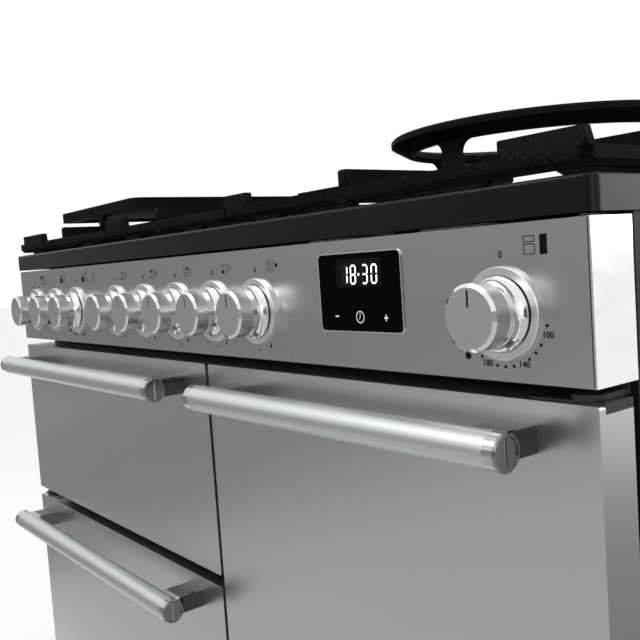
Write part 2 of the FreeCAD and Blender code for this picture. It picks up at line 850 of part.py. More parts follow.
def side_door(x0, x1, z0, z1, edge, side):
    """Skin and inner pan of a side-hung door."""
    notches = []
    lugs = []
    holes = []
    px, py = side_hinge_pivot(edge, side)
    for z, up in ((z1, 1), (z0, -1)):
        notches.append(hinge_lug_space(edge, side, z, up, 1, 1))
        lugs.append(hinge_lug_space(edge, side, z, up, hinge_lug_proud))
        holes.append(rod(hinge_pin + running_fit, (px, py, z - 20), (0, 0, 1), 40))
    return door_skin(x0, x1, z0, z1, notches), door_pan(x0, x1, z0, z1, lugs, holes)


def side_bracket(edge, side, z_door_edge, up):
    """Fixed hinge arm with its pin, on a tab against the casing front."""
    px, py = side_hinge_pivot(edge, side)
    near = z_door_edge + up * (hinge_lug_proud + hinge_seat)
    far = near + up * hinge_plate
    z0 = min(near, far)
    half = 3 * hinge_pin
    arm = block(px - half, px + half, py, y_casing, z0, z0 + hinge_plate)
    nose = rod(half, (px, py, z0), (0, 0, 1), hinge_plate)
    tab_zs = sorted((near, near + up * hinge_tab_height))
    tab = block(px - half, px + half, y_casing - hinge_tab, y_casing, tab_zs[0], tab_zs[1])
    pin_length = hinge_lug_drop + hinge_lug_proud + 4
    pin_foot = near - up * pin_length
    pin = rod(hinge_pin, (px, py, min(pin_foot, near)), (0, 0, 1), pin_length)
    return joined([arm, nose, tab, pin])


grill_pivot_y = y_face + grill_pivot_set
grill_pivot_z = z_grill_door + grill_pivot_rise
grill_hinge_x = [x_left + grill_hinge_inset, x_left_door_end - grill_hinge_inset]


def grill_bracket(x):
    """Fixed ear with a cross pin that the grill door turns on."""
    half = grill_ear / 2
    ear_radius = 2 * grill_pin - 1
    ear = block(x - half, x + half, grill_pivot_y, y_casing, grill_pivot_z - ear_radius,
                grill_pivot_z + ear_radius)
    nose = rod(ear_radius, (x - half, grill_pivot_y, grill_pivot_z), (1, 0, 0), grill_ear)
    tab = block(x - 3 * half, x + 3 * half, y_casing - hinge_tab, y_casing,
                grill_pivot_z - 3 * ear_radius, grill_pivot_z + ear_radius)
    pin = rod(grill_pin, (x - half - grill_pin_reach, grill_pivot_y, grill_pivot_z), (1, 0, 0),
              grill_ear + 2 * grill_pin_reach)
    return joined([ear, nose, tab, pin])


def hinge_brackets():
    """Fixed halves of all the door hinges."""
    pieces = [grill_bracket(x) for x in grill_hinge_x]
    for edge, side, top in ((x_left, -1, z_left_door_top), (x_right, 1, z_door_top)):
        pieces.append(side_bracket(edge, side, top, 1))
        pieces.append(side_bracket(edge, side, door_bottom, -1))
    return pieces


def grill_door():
    """Skin and inner pan of the drop-down grill door, slotted at the bottom for the ears."""
    x0, x1, z0, z1 = x_left, x_left_door_end, z_grill_door, z_door_top
    slots = []
    bearings = []
    bores = []
    half_slot = grill_ear / 2 + grill_ear_gap
    reach = half_slot + grill_pin_reach
    for x in grill_hinge_x:
        slots.append(block(x - half_slot, x + half_slot, grill_pivot_y - 8, y_door_back + 1,
                           z0 - 1, grill_pivot_z + 8))
        bearings.append(block(x - reach, x + reach, grill_pivot_y - 6, y_door_back,
                              z0 + door_sheet, grill_pivot_z + 7))
        bores.append(rod(grill_pin + running_fit, (x - reach - 1, grill_pivot_y, grill_pivot_z),
                         (1, 0, 0), 2 * reach + 2))
    return door_skin(x0, x1, z0, z1, slots), door_pan(x0, x1, z0, z1, bearings, slots + bores)


def handle_bracket(x, z_axis, z_door_edge):
    """Block between door and tube, saddled to the tube."""
    y_axis = y_face - handle_reach + handle_radius
    top = z_axis + bracket_height / 2
    stalk = block(x, x + bracket_width, y_axis, y_door, top - bracket_height, top)
    stalk = rounded(stalk, 2.0, V(0, 1, 0))
    return stalk.cut(rod(handle_radius, (x - 1, y_axis, z_axis), (1, 0, 0), bracket_width + 2))


def handle_end(x, side, y, z):
    """Polished end cap: ring, recessed slotted disc and a plug in the tube."""
    bore = handle_radius - handle_wall
    lip = 2.2
    profile = [(0, -handle_cap), (bore, -handle_cap), (bore, 0), (handle_radius, 0),
               (handle_radius, handle_cap - 1), (handle_radius - 1, handle_cap),
               (handle_radius - lip, handle_cap), (handle_radius - lip, handle_cap - 1.4),
               (0, handle_cap - 1.4)]
    cap = turned(profile, (x, y, z), V(side, 0, 0))
    xs = sorted((x + side * (handle_cap - 3), x + side * (handle_cap + 1)))
    slot = block(xs[0], xs[1], y - 1.2, y + 1.2, z - handle_radius + lip + 1,
                 z + handle_radius - lip - 1)
    return cap.cut(slot)


def handle(x0, x1, z_door_edge):
    """Tubular handle between two outer bracket edges: tube, two brackets and two end caps."""
    z = z_door_edge - handle_drop
    y = y_face - handle_reach + handle_radius
    start = x0 - handle_overhang + handle_cap
    end = x1 + handle_overhang - handle_cap
    tube = rod(handle_radius, (start, y, z), (1, 0, 0), end - start)
    tube = tube.cut(rod(handle_radius - handle_wall, (start - 1, y, z), (1, 0, 0), end - start + 2))
    return [tube, handle_bracket(x0, z, z_door_edge), handle_bracket(x1 - bracket_width, z, z_door_edge),
            handle_end(start, -1, y, z), handle_end(end, 1, y, z)]


left_handle_span = (x_left + bracket_inset_left, x_left_door_end - bracket_inset_left - 12)
tall_handle_span = (x_tall_door + 50.0, x_right - bracket_inset_tall - 11)


def storage_drawer():
    """Drawer box with a slide rail on each side."""
    front = y_door + drawer_front_depth
    back = front + drawer_depth
    top = drawer_bottom + drawer_side_height
    box = block(-drawer_half, drawer_half, front, back, drawer_bottom, top)
    inside = block(-drawer_half + drawer_sheet, drawer_half - drawer_sheet, front + drawer_sheet,
                   back - drawer_sheet, drawer_bottom + drawer_sheet, top + 1)
    z0 = z_rail_mid - rail_height / 2
    rail = block(-drawer_half - rail_width, -drawer_half, y_casing + 1, back, z0, z0 + rail_height)
    return [joined([box.cut(inside), rail, mirrored(rail)])]


def drawer_front():
    """Folded steel drawer front with a finger lip along its top."""
    shell = block(x_left, x_right, y_door, y_door + drawer_front_depth, drawer_front_bottom,
                  z_drawer_top)
    shell = shell.makeFillet(door_corner, edges_along(shell, V(0, 1, 0)))
    inside = block(x_left + door_sheet, x_right - door_sheet, y_door + door_sheet,
                   y_door + drawer_front_depth - door_sheet, drawer_front_bottom + door_sheet,
                   z_drawer_top - door_sheet)
    slot = block(x_left + 60, x_right - 60, y_door + 6, y_door + drawer_front_depth - 2,
                 z_drawer_top - 2 * door_sheet, z_drawer_top + 1)
    return [without(shell, [inside, slot])]


# ---------------------------------------------------------------- fascia and controls
clock_x = x_right - clock_inset
clock_z = z_fascia + clock_rise


def fascia_panel():
    """Folded control panel with holes for the spindles and the clock."""
    half = body_width / 2 - cheek_sheet - cheek_groove
    shell = block(-half, half, y_face, y_casing, z_fascia, z_fascia_top)
    inside = block(-half - 1, half + 1, y_face + fascia_sheet, y_casing + 1,
                   z_fascia + fascia_sheet, z_fascia_top - fascia_sheet)
    holes = [rod(3 * spindle_radius, (x, y_face - 1, z_control), (0, 1, 0), 4)
             for x in oven_knob_x + gas_knob_x]
    wide = clock_width / 2 + clock_fit
    high = clock_height / 2 + clock_fit
    holes.append(plate_xz(clock_x - wide, clock_x + wide, clock_z - high, clock_z + high,
                          y_face - 1, y_face + 4, 4 + clock_fit))
    return [without(shell.cut(inside), holes)]


def fascia_cheeks():
    """Polished end cheeks that plug the ends of the fascia."""
    plug_depth = 8.0
    plate = block(x_left, x_left + cheek_sheet, y_face, y_casing, z_fascia, z_fascia_top)
    plug = block(x_left + cheek_sheet, x_left + cheek_sheet + cheek_groove + plug_depth,
                 y_face + 2 * fascia_sheet, y_casing, z_fascia + fascia_sheet,
                 z_fascia_top - fascia_sheet)
    cheek = joined([plate, plug])
    return [cheek, mirrored(cheek)]


def knob_bezels():
    """Round bezels under the knobs."""
    profile = [(8, 0), (bezel_radius, 0), (bezel_radius, bezel_thick - 0.6),
               (bezel_radius - 0.6, bezel_thick), (bezel_inner, bezel_thick),
               (bezel_inner, bezel_floor), (8, bezel_floor)]
    return [turned(profile, (x, y_face, z_control), V(0, -1, 0)) for x in oven_knob_x + gas_knob_x]


def knob(x):
    """Turned knob: face, chamfer, brushed band, waisted neck, skirt and spindle bore."""
    bore = spindle_radius + running_fit
    back_of_band = knob_reach - 2.0 - knob_band
    waist = knob_radius - 1.7
    foot = knob_skirt_reach
    inner = knob_radius - 3
    profile = [
        (0, knob_reach), (knob_face_radius, knob_reach), (knob_radius, knob_reach - 2.0),
        (knob_radius, back_of_band), (knob_radius - 1.2, back_of_band - 0.8),
        (waist, back_of_band - 5.5),
        (waist + 1.2, foot + 4.4, knob_skirt_radius, foot + 1.0),
        (knob_skirt_radius, foot), (knob_skirt_radius - 1.5, foot),
        (knob_skirt_radius - 1.5, foot + 1.2), (inner, foot + 4.8), (inner, knob_reach - 5),
        (7, knob_reach - 5), (7, foot + 2.8), (bore, foot + 2.8), (bore, knob_reach - 6),
        (0, knob_reach - 6),
    ]
    body = turned(profile, (x, y_face, z_control), V(0, -1, 0))
    y = y_face - knob_reach
    pointer = plate_xz(x - 0.9, x + 0.9, z_control + 7.2, z_control + 19.2, y - 1, y + 0.6, 0.89)
    return [body.cut(pointer)]


def gas_spindle(x):
    """Spindle of a gas valve with its stop collar."""
    tip = knob_reach - 6.5
    collar = spindle_radius + 2
    tail = valve_set + 14
    profile = [(0, -tail), (spindle_radius, -tail), (spindle_radius, 2), (collar, 2), (collar, 4),
               (spindle_radius, 4), (spindle_radius, tip), (0, tip)]
    return [turned(profile, (x, y_face, z_control), V(0, -1, 0))]


def oven_controls():
    """Oven switches with their fixed shafts, and the timer housing behind the clock glass."""
    pieces = []
    shaft_tip = knob_reach - 6.5
    for x in oven_knob_x:
        body = block(x - 22, x + 22, y_face + valve_set, y_face + valve_set + 28, z_control - 22,
                     z_control + 22)
        neck = rod(12, (x, y_face + fascia_sheet, z_control), (0, 1, 0), valve_set)
        shaft = rod(spindle_radius, (x, y_face - shaft_tip, z_control), (0, 1, 0),
                    shaft_tip + valve_set + 4)
        pieces.append(joined([body, neck, shaft]))
    wide = clock_width / 2
    high = clock_height / 2 - 12
    flange = block(clock_x - wide - 6, clock_x + wide + 6, y_face + fascia_sheet,
                   y_face + fascia_sheet + 2, clock_z - clock_height / 2 - 5, clock_z + clock_height / 2 + 5)
    housing = block(clock_x - wide + 4, clock_x + wide - 4, y_face + fascia_sheet,
                    y_face + fascia_sheet + 30, clock_z - high, clock_z + high)
    pieces.append(joined([flange, housing]))
    return pieces


def clock_glass():
    """Black glass of the clock, standing a little proud of the fascia."""
    wide = clock_width / 2
    high = clock_height / 2
    glass = plate_xz(clock_x - wide, clock_x + wide, clock_z - high, clock_z + high,
                     y_face - clock_proud, y_face + fascia_sheet, 4)
    front = [edge for edge in glass.Edges if all(v.Y < y_face - clock_proud + 0.1 for v in edge.Vertexes)]
    return [glass.makeChamfer(0.6, front)]


def pipe_run(radius, points):
    """Straight pipes with round elbows through a list of points."""
    parts = []
    for a, b in zip(points, points[1:]):
        step = b - a
        parts.append(Part.makeCylinder(radius, step.Length, a, step))
    parts += [Part.makeSphere(radius, point) for point in points[1:-1]]
    return parts


def gas_rail():
    """Gas rail with five valves and the pipe back to the inlet socket."""
    y_rail = y_face + rail_set
    parts = []
    bores = []
    for x in gas_knob_x:
        y0 = y_face + valve_set
        parts.append(block(x - valve_width / 2, x + valve_width / 2, y0, y0 + valve_depth,
                           z_control - valve_height / 2, z_control + valve_height / 2))
        parts.append(rod(12, (x, y_face + fascia_sheet, z_control), (0, 1, 0), valve_set))
        parts.append(rod(6, (x, y0, z_control), (0, 1, 0), y_rail - y0))
        bores.append(rod(spindle_radius + running_fit, (x, y_face, z_control), (0, 1, 0),
                         valve_set + 20))
        bores.append(rod(spindle_radius + 2.6, (x, y_face, z_control), (0, 1, 0), valve_set))
    start = V(gas_knob_x[0] - 2 * rail_pipe, y_rail, z_control)
    corner = V(inlet_x, y_rail, z_control)
    turn = V(inlet_x, y_back - rear_void / 2, z_control)
    socket_top = z_control - 24
    end = V(turn.x, turn.y, socket_top)
    parts += pipe_run(rail_pipe, [start, corner, turn, end])
    outer = inlet_bore + inlet_wall
    parts.append(rod(outer, (turn.x, turn.y, socket_top - inlet_depth - 4), (0, 0, 1), inlet_depth + 8))
    bores.append(rod(inlet_bore, (turn.x, turn.y, socket_top - inlet_depth - 4), (0, 0, 1),
                     inlet_depth))
    return [without(joined(parts), bores)]


# ---------------------------------------------------------------- hob
def hob_tray():
    """Pressed hob with three wells, burner holes and flue slots at the back."""
    half = hob_width / 2
    front = y_face - hob_lap
    shell = plate_xy(-half, half, front, y_back, z_tray, z_rim, hob_corner)
    top_edges = [edge for edge in shell.Edges if all(v.Z > z_rim - 0.1 for v in edge.Vertexes)]
    shell = shell.makeFillet(3.0, top_edges)
    inset = hob_sheet
    hollow = plate_xy(-half + inset, half - inset, front + inset, y_back - inset,
                      z_tray + hob_sheet, z_rim - hob_sheet, hob_corner - inset)
    lip = hob_lip
    mouth = plate_xy(-half + lip, half - lip, front + lip, y_back - lip, z_tray - 1,
                     z_tray + hob_sheet + 1, hob_corner)
    shell = shell.cut(hollow).cut(mouth)
    wells = []
    pockets = []
    for left, right in zip(support_bounds, support_bounds[1:]):
        x0 = x_left + left + well_side
        x1 = x_left + right - well_side
        y0 = y_support + well_end
        y1 = y_support_back - well_end
        wells.append(plate_xy(x0 - inset, x1 + inset, y0 - inset, y1 + inset, z_well - inset,
                              z_rim - inset / 2, well_corner + inset))
        pockets.append(plate_xy(x0, x1, y0, y1, z_well, z_rim + 1, well_corner))
    holes = [rod(0.6 * radius, (x, y, z_tray), (0, 0, 1), hob_edge + 1) for x, y, radius in burners]
    slots = []
    for n in range(flue_slots):
        x = (n - (flue_slots - 1) / 2) * hob_width / (flue_slots + 2)
        slots.append(plate_xy(x - flue_half, x + flue_half, y_back - flue_set, y_back - flue_set + flue_wide,
                              z_rim - 4, z_rim + 1, flue_wide / 2 - 0.1))
    return [without(joined([shell] + wells), pockets + holes + slots)]


def burner_body(x, y, radius):
    """Cast burner: jet cup under the hob, flange on it and crown with flame ports."""
    stem = 0.6 * radius
    z_flange = burner_flange
    z_crown = burner_flange + crown_height
    if radius < crown_wok:
        profile = [(0, -28), (stem * 0.6, -28), (stem * 0.6, -14), (stem - 1, -8), (stem - 1, 0),
                   (radius + 7, 0), (radius + 6, z_flange), (radius, z_flange), (radius, z_crown),
                   (radius - 9, z_crown), (radius - 9, z_flange + 4), (0, z_flange + 4)]
        ports = 18 if radius < crown_large else 24
        port_in = radius - 10
    else:
        profile = [(0, -28), (stem * 0.5, -28), (stem * 0.5, -14), (stem - 1, -8), (stem - 1, 0),
                   (radius + 7, 0), (radius + 6, z_flange), (radius, z_flange), (radius, z_crown),
                   (radius - 13, z_crown), (radius - 13, z_flange), (0.42 * radius, z_flange),
                   (0.42 * radius, z_crown), (0.2 * radius, z_crown), (0.2 * radius, z_flange),
                   (0, z_flange)]
        ports = 30
        port_in = radius - 14
    body = turned(profile, (x, y, z_well))
    port = block(x - 1.2, x + 1.2, y + port_in, y + radius + 1, z_well + z_flange + 6, z_well + z_crown + 1)
    return without(body, pattern(port, (x, y, 0), ports))


def burner_bodies():
    return [burner_body(x, y, radius) for x, y, radius in burners]


def burner_caps():
    """Enamelled caps on the crowns; the wok burner has a ring cap round a small cap."""
    caps = []
    z = z_well + burner_flange + crown_height
    for x, y, radius in burners:
        if radius < crown_wok:
            caps.append(turned([(0, 0), (radius + 1, 0), (radius + 1, cap_thick - 1.6),
                                (radius - 1.5, cap_thick), (0, cap_thick)], (x, y, z)))
        else:
            caps.append(turned([(radius - 14, 0), (radius + 1, 0), (radius + 1, cap_thick - 1.6),
                                (radius - 1.5, cap_thick), (radius - 12, cap_thick),
                                (radius - 14, cap_thick - 1.6)], (x, y, z)))
            caps.append(turned([(0, 0), (0.42 * radius + 1, 0), (0.42 * radius + 1, cap_thick - 1.6),
                                (0.42 * radius - 1.5, cap_thick), (0, cap_thick)], (x, y, z)))
    return caps


# ---------------------------------------------------------------- pan supports
def finger(root, tip, reach_low):
    """Pan-support finger between two points in plan: upright bar whose end tapers upward."""
    along = tip - root
    length = along.Length
    along.normalize()
    side = V(-along.y, along.x, 0) * (finger_thick / 2)

    def at(distance, z):
        return V(root.x + along.x * distance, root.y + along.y * distance, z) - side

    points = [at(0, z_rail), at(0, z_finger - 2), at(2, z_finger), at(length - 1.5, z_finger),
              at(length, z_finger - 1.5), at(length, z_finger - finger_tip_drop),
              at(reach_low, z_rail)]
    return prism(points, side * 2)


def tab(x0, x1):
    """Raised tab on the front rail; its right end slopes."""
    points = [V(x0, y_support, z_rail_top - 1), V(x0, y_support, z_rim + tab_top - 1),
              V(x0 + 1, y_support, z_rim + tab_top), V(x1 - tab_slope, y_support, z_rim + tab_top),
              V(x1, y_support, z_rail_top - 1)]
    return prism(points, V(0, finger_thick, 0))


def support_foot(x, y):
    """Foot under a rail, narrower at the hob."""
    half = support_foot_half
    end = half - foot_draft
    points = [V(x - half, y, z_rail + 1), V(x - end, y, z_rim), V(x + end, y, z_rim),
              V(x + half, y, z_rail + 1)]
    return prism(points, V(0, support_rail - rail_bevel, 0))


def support_frame(left, right, feet_in):
    """Rails and feet shared by all the pan supports; feet_in is how far each foot is from its end."""
    x0 = x_left + left + support_gap / 2
    x1 = x_left + right - support_gap / 2
    y0 = y_support
    y1 = y_support_back
    outer = plate_xy(x0, x1, y0, y1, z_rail, z_rail_top, support_corner)
    inner = plate_xy(x0 + support_rail, x1 - support_rail, y0 + support_rail, y1 - support_rail,
                     z_rail - 1, z_rail_top + 1, 3)
    low_edges = [edge for edge in outer.Edges if all(v.Z < z_rail + 0.1 for v in edge.Vertexes)]
    parts = [outer.makeChamfer(rail_bevel, low_edges).cut(inner)]
    for x in (x0 + feet_in[0], x1 - feet_in[1]):
        parts.append(support_foot(x, y0 + rail_bevel))
        parts.append(support_foot(x, y1 - support_rail))
    return parts, x0, x1, y0, y1


def cross_fingers(x, y, clear, x0, x1, y0, y1):
    """Four fingers that point at a burner from the edges given, stopping at a radius."""
    starts = [V(x, y0, 0), V(x, y1, 0), V(x0, y, 0), V(x1, y, 0)]
    fingers = []
    for root in starts:
        way = V(x, y, 0) - root
        length = way.Length - clear
        tip = root + way.normalize() * length
        fingers.append(finger(root, tip, length - finger_taper))
    return fingers


def twin_support(left, right, x, tab_span):
    """Support over two burners, one behind the other, with a bar between them."""
    parts, x0, x1, y0, y1 = support_frame(left, right, (rail_foot_inset, rail_foot_inset))
    y_bar = y_face + burner_middle
    half = finger_thick / 2
    bar = block(x0 + 2, x1 - 2, y_bar - half, y_bar + half, z_rail, z_rail_top)
    parts.append(bar)
    for pad in (x0 + 2, x1 - 2 - bar_pad):
        parts.append(prism([V(pad, y_bar - half, z_rail), V(pad, y_bar - half, z_finger),
                            V(pad + bar_pad, y_bar - half, z_finger),
                            V(pad + bar_pad, y_bar - half, z_rail)],
                           V(0, finger_thick, 0)))
    parts += cross_fingers(x, y_face + burner_front, finger_clear, x0 + 1, x1 - 1, y0 + 0.5, y_bar)
    parts += cross_fingers(x, y_face + burner_rear, finger_clear, x0 + 1, x1 - 1, y_bar, y1 - 0.5)
    parts.append(tab(x0 + tab_span[0], x0 + tab_span[1]))
    return [joined(parts)]


def wok_support(left, right):
    """Support over the wok burner, with extra fingers near its corners."""
    parts, x0, x1, y0, y1 = support_frame(left, right, (rail_foot_inset, wok_foot_inset))
    x, y, radius = burners[-1]
    parts += cross_fingers(x, y, radius - 8, x0 + 1, x1 - 1, y0 + 0.5, y1 - 0.5)
    for y_side in (y_support + side_finger_set, y1 - side_finger_set):
        for root, way in ((V(x0 + 1, y_side, 0), 1), (V(x1 - 1, y_side, 0), -1)):
            tip = root + V(way * side_finger, 0, 0)
            parts.append(finger(root, tip, side_finger - finger_taper))
    parts.append(tab(x0, x0 + wok_tab))
    parts.append(tab(x1 - end_tab, x1))
    return [joined(parts)]


# ---------------------------------------------------------------- griddle and wok cradle
def griddle():
    """Cast griddle plate: dished top, drain channel, thick edge and four feet."""
    x0 = x_left + griddle_left
    x1 = x0 + griddle_width
    y0 = y_face + griddle_set
    y1 = y0 + griddle_length
    z0 = z_finger + griddle_lift
    z1 = z0 + griddle_thick
    plate = plate_xy(x0, x1, y0, y1, z0, z1, griddle_corner)
    upper = [edge for edge in plate.Edges if all(v.Z > z1 - 0.1 for v in edge.Vertexes)]
    plate = plate.makeFillet(2.0, upper)
    dish = plate_xy(x0 + 10, x1 - 10, y0 + 10, y1 - 10, z1 - 4, z1 + 1, griddle_corner - 8)
    drain = plate_xy(x0 + 12, x1 - 12, y0 + 12, y1 - 12, z1 - 7, z1 - 3, griddle_corner - 9)
    drain = drain.cut(plate_xy(x0 + 22, x1 - 22, y0 + 22, y1 - 22, z1 - 8, z1, griddle_corner - 10))
    under = plate_xy(x0 + 12, x1 - 12, y0 + 24, y1 - 24, z0 - 1, z0 + 4, griddle_corner - 8)
    plate = without(plate, [dish, drain, under])
    foot = finger_thick
    spots = [(x_left + burner_left, y0 + 5), (x_left + burner_left, y1 - 5)]
    spots += [(x0 + 6, y_face + burner_middle), (x1 - 6, y_face + burner_middle)]
    feet = []
    for x, y in spots:
        points = [V(x - foot, y - foot / 2, z0 + 1), V(x - foot + 2, y - foot / 2, z_finger + lift_seat),
                  V(x + foot - 2, y - foot / 2, z_finger + lift_seat), V(x + foot, y - foot / 2, z0 + 1)]
        feet.append(prism(points, V(0, foot, 0)))
    return [joined([plate] + feet)]


def cradle_leg(x, y, z0, z_arch):
    """Leg outline seen along X: flared at its foot, coved where it meets the ring."""
    foot = leg_half + leg_flare
    top = leg_half + leg_cove
    bend = leg_cove * (1 - math.sqrt(0.5))
    z_cove = z_arch - leg_cove
    return [
        V(x, y - foot, z0), V(x, y - leg_half, z0 + leg_flare_rise), V(x, y - leg_half, z_cove),
        (V(x, y - leg_half - bend, z_arch - bend), V(x, y - top, z_arch)), V(x, y - top, z_arch + 2),
        V(x, y + top, z_arch + 2), V(x, y + top, z_arch),
        (V(x, y + leg_half + bend, z_arch - bend), V(x, y + leg_half, z_cove)),
        V(x, y + leg_half, z0 + leg_flare_rise), V(x, y + foot, z0),
    ]


def wok_cradle():
    """Cast ring for a round-bottomed pan: coned seat on a coved rim, carried by four legs."""
    x, y, radius = burners[-1]
    z0 = z_finger + lift_seat
    z1 = z_finger + cradle_height
    z_arch = z1 - cradle_hoop
    inner = cradle_skirt - cradle_wall
    ring = turned([(inner, z_arch), (cradle_skirt, z_arch), (cradle_radius, z1 - cradle_rim),
                   (cradle_radius, z1 - 2), (cradle_radius - 2, z1), (inner, z1 - cradle_seat),
                   (inner - 3, z1 - cradle_seat - 2), (inner - 3, z_arch + 3)], (x, y, 0))
    skirt = turned([(inner, z0), (cradle_skirt, z0), (cradle_skirt, z_arch + 2),
                    (inner, z_arch + 2)], (x, y, 0))
    blank = prism(cradle_leg(x, y, z0, z_arch), V(2 * cradle_radius, 0, 0))
    legs = [skirt.common(spun(blank, (x, y, 0), 90 * n)) for n in range(4)]
    return [joined([ring] + legs)]


# ---------------------------------------------------------------- write the pieces
def all_nodes():
    grill_skin, grill_pan_door = grill_door()
    left_skin, left_pan = side_door(x_left, x_left_door_end, door_bottom, z_left_door_top, x_left, -1)
    tall_skin, tall_pan = side_door(x_tall_door, x_right, door_bottom, z_door_top, x_right, 1)
    nodes = {
        "base_frame": base_frame(),
        "rear_rollers": rear_rollers(),
        "front_feet": front_feet(),
        "plinth": plinth(),
        "side_panels": side_panels(),
        "back_panel": back_panel(),
        "front_frame": front_frame(),
        "grill_liner": [liner(grill_cavity, [])],
        "left_oven_liner": [liner(left_cavity, [shaft_hole(left_cavity)])],
        "right_oven_liner": [liner(right_cavity, [shaft_hole(right_cavity)])],
        "door_seals": door_seals(),
        "shelf_ladders": shelf_ladders(),
        "left_oven_shelf": oven_shelf(left_cavity, 1),
        "right_oven_shelf": oven_shelf(right_cavity, 3),
        "grill_pan": grill_pan(),
        "left_oven_fan": fan(left_cavity),
        "right_oven_fan": fan(right_cavity),
        "fan_motors": fan_motors(),
        "fan_covers": [fan_cover(left_cavity), fan_cover(right_cavity)],
        "heating_elements": heating_elements(),
        "hinge_brackets": hinge_brackets(),
        "grill_door_skin": [grill_skin],
        "grill_door_pan": [grill_pan_door],
        "grill_door_handle": handle(*left_handle_span, z_door_top),
        "left_oven_door_skin": [left_skin],
        "left_oven_door_pan": [left_pan],
        "left_oven_door_handle": handle(*left_handle_span, z_left_door_top),
        "right_oven_door_skin": [tall_skin],
        "right_oven_door_pan": [tall_pan],
        "right_oven_door_handle": handle(*tall_handle_span, z_door_top),
        "storage_drawer": storage_drawer(),
        "drawer_front": drawer_front(),
        "fascia_panel": fascia_panel(),
        "fascia_cheeks": fascia_cheeks(),
        "knob_bezels": knob_bezels(),
        "oven_controls": oven_controls(),
        "clock_glass": clock_glass(),
        "gas_rail": gas_rail(),
        "hob_tray": hob_tray(),
        "burner_bodies": burner_bodies(),
        "burner_caps": burner_caps(),
        "pan_support_left": twin_support(support_bounds[0], support_bounds[1], burners[0][0],
                                         left_tab),
        "pan_support_centre": twin_support(support_bounds[1], support_bounds[2], burners[2][0],
                                           centre_tab),
        "pan_support_right": wok_support(support_bounds[2], support_bounds[3]),
        "griddle": griddle(),
        "wok_cradle": wok_cradle(),
    }
    names = ["grill_knob", "left_oven_function_knob", "left_oven_heat_knob", "right_oven_knob"]
    for name, x in zip(names, oven_knob_x):
        nodes[name] = knob(x)
    for n, x in enumerate(gas_knob_x, start=1):
        nodes["gas_knob_%d" % n] = knob(x)
        nodes["gas_spindle_%d" % n] = gas_spindle(x)
    return nodes


os.makedirs("parts", exist_ok=True)
for node_name, solids in all_nodes().items():
    shape = solids[0] if len(solids) == 1 else Part.makeCompound(solids)
    shape.exportStep("parts/%s.step" % node_name)
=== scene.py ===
import math

import bmesh
import bpy
from mathutils import Matrix, Vector


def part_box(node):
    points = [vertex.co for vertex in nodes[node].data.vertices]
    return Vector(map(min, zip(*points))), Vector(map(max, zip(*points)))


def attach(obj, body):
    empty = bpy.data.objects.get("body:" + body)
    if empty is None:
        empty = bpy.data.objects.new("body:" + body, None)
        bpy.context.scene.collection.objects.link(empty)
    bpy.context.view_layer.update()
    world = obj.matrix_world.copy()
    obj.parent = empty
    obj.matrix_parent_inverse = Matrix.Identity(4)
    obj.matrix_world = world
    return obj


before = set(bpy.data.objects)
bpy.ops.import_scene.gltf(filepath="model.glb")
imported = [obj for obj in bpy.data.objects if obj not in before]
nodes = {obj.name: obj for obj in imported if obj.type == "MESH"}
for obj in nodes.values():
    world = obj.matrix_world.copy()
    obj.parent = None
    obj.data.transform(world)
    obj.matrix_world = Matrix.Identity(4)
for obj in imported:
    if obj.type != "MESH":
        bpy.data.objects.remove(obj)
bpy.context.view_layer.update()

MM = 0.001

# Places on the fascia are counted from its left end, its front plane and its lower edge, in mm.
cheeks_low, cheeks_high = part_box("fascia_cheeks")
fascia_x = cheeks_low.x
fascia_y = cheeks_low.y
fascia_z = cheeks_low.z
fascia_width = (cheeks_high.x - cheeks_low.x) / MM


def on_fascia(x, y, z):
    """Point in the frame, from mm along, behind and above the fascia's lower left corner."""
    return Vector((fascia_x + x * MM, fascia_y + y * MM, fascia_z + z * MM))


# ---------------------------------------------------------------- camera
CAMERA_PLACE = (1391.5, -448.7, 92.3)
CAMERA_YAW = 52.32
CAMERA_PITCH = -4.02
CAMERA_ROLL = -3.94
FOCAL_PIXELS = 817.56
IMAGE_PIXELS = 640
SENSOR = 36.0


def make_camera():
    yaw, pitch, roll = (math.radians(a) for a in (CAMERA_YAW, CAMERA_PITCH, CAMERA_ROLL))
    forward = Vector((-math.sin(yaw) * math.cos(pitch), math.cos(yaw) * math.cos(pitch), math.sin(pitch)))
    right = Vector((math.cos(yaw), math.sin(yaw), 0))
    up = right.cross(forward)
    right_rolled = math.cos(roll) * right + math.sin(roll) * up
    up_rolled = math.cos(roll) * up - math.sin(roll) * right
    data = bpy.data.cameras.new("camera")
    data.sensor_width = SENSOR
    data.lens = FOCAL_PIXELS / IMAGE_PIXELS * SENSOR
    data.clip_start = 0.02
    data.clip_end = 60
    camera = bpy.data.objects.new("camera", data)
    turn = Matrix((right_rolled, up_rolled, -forward)).transposed()
    camera.matrix_world = Matrix.Translation(on_fascia(*CAMERA_PLACE)) @ turn.to_4x4()
    bpy.context.scene.collection.objects.link(camera)
    bpy.context.scene.camera = camera


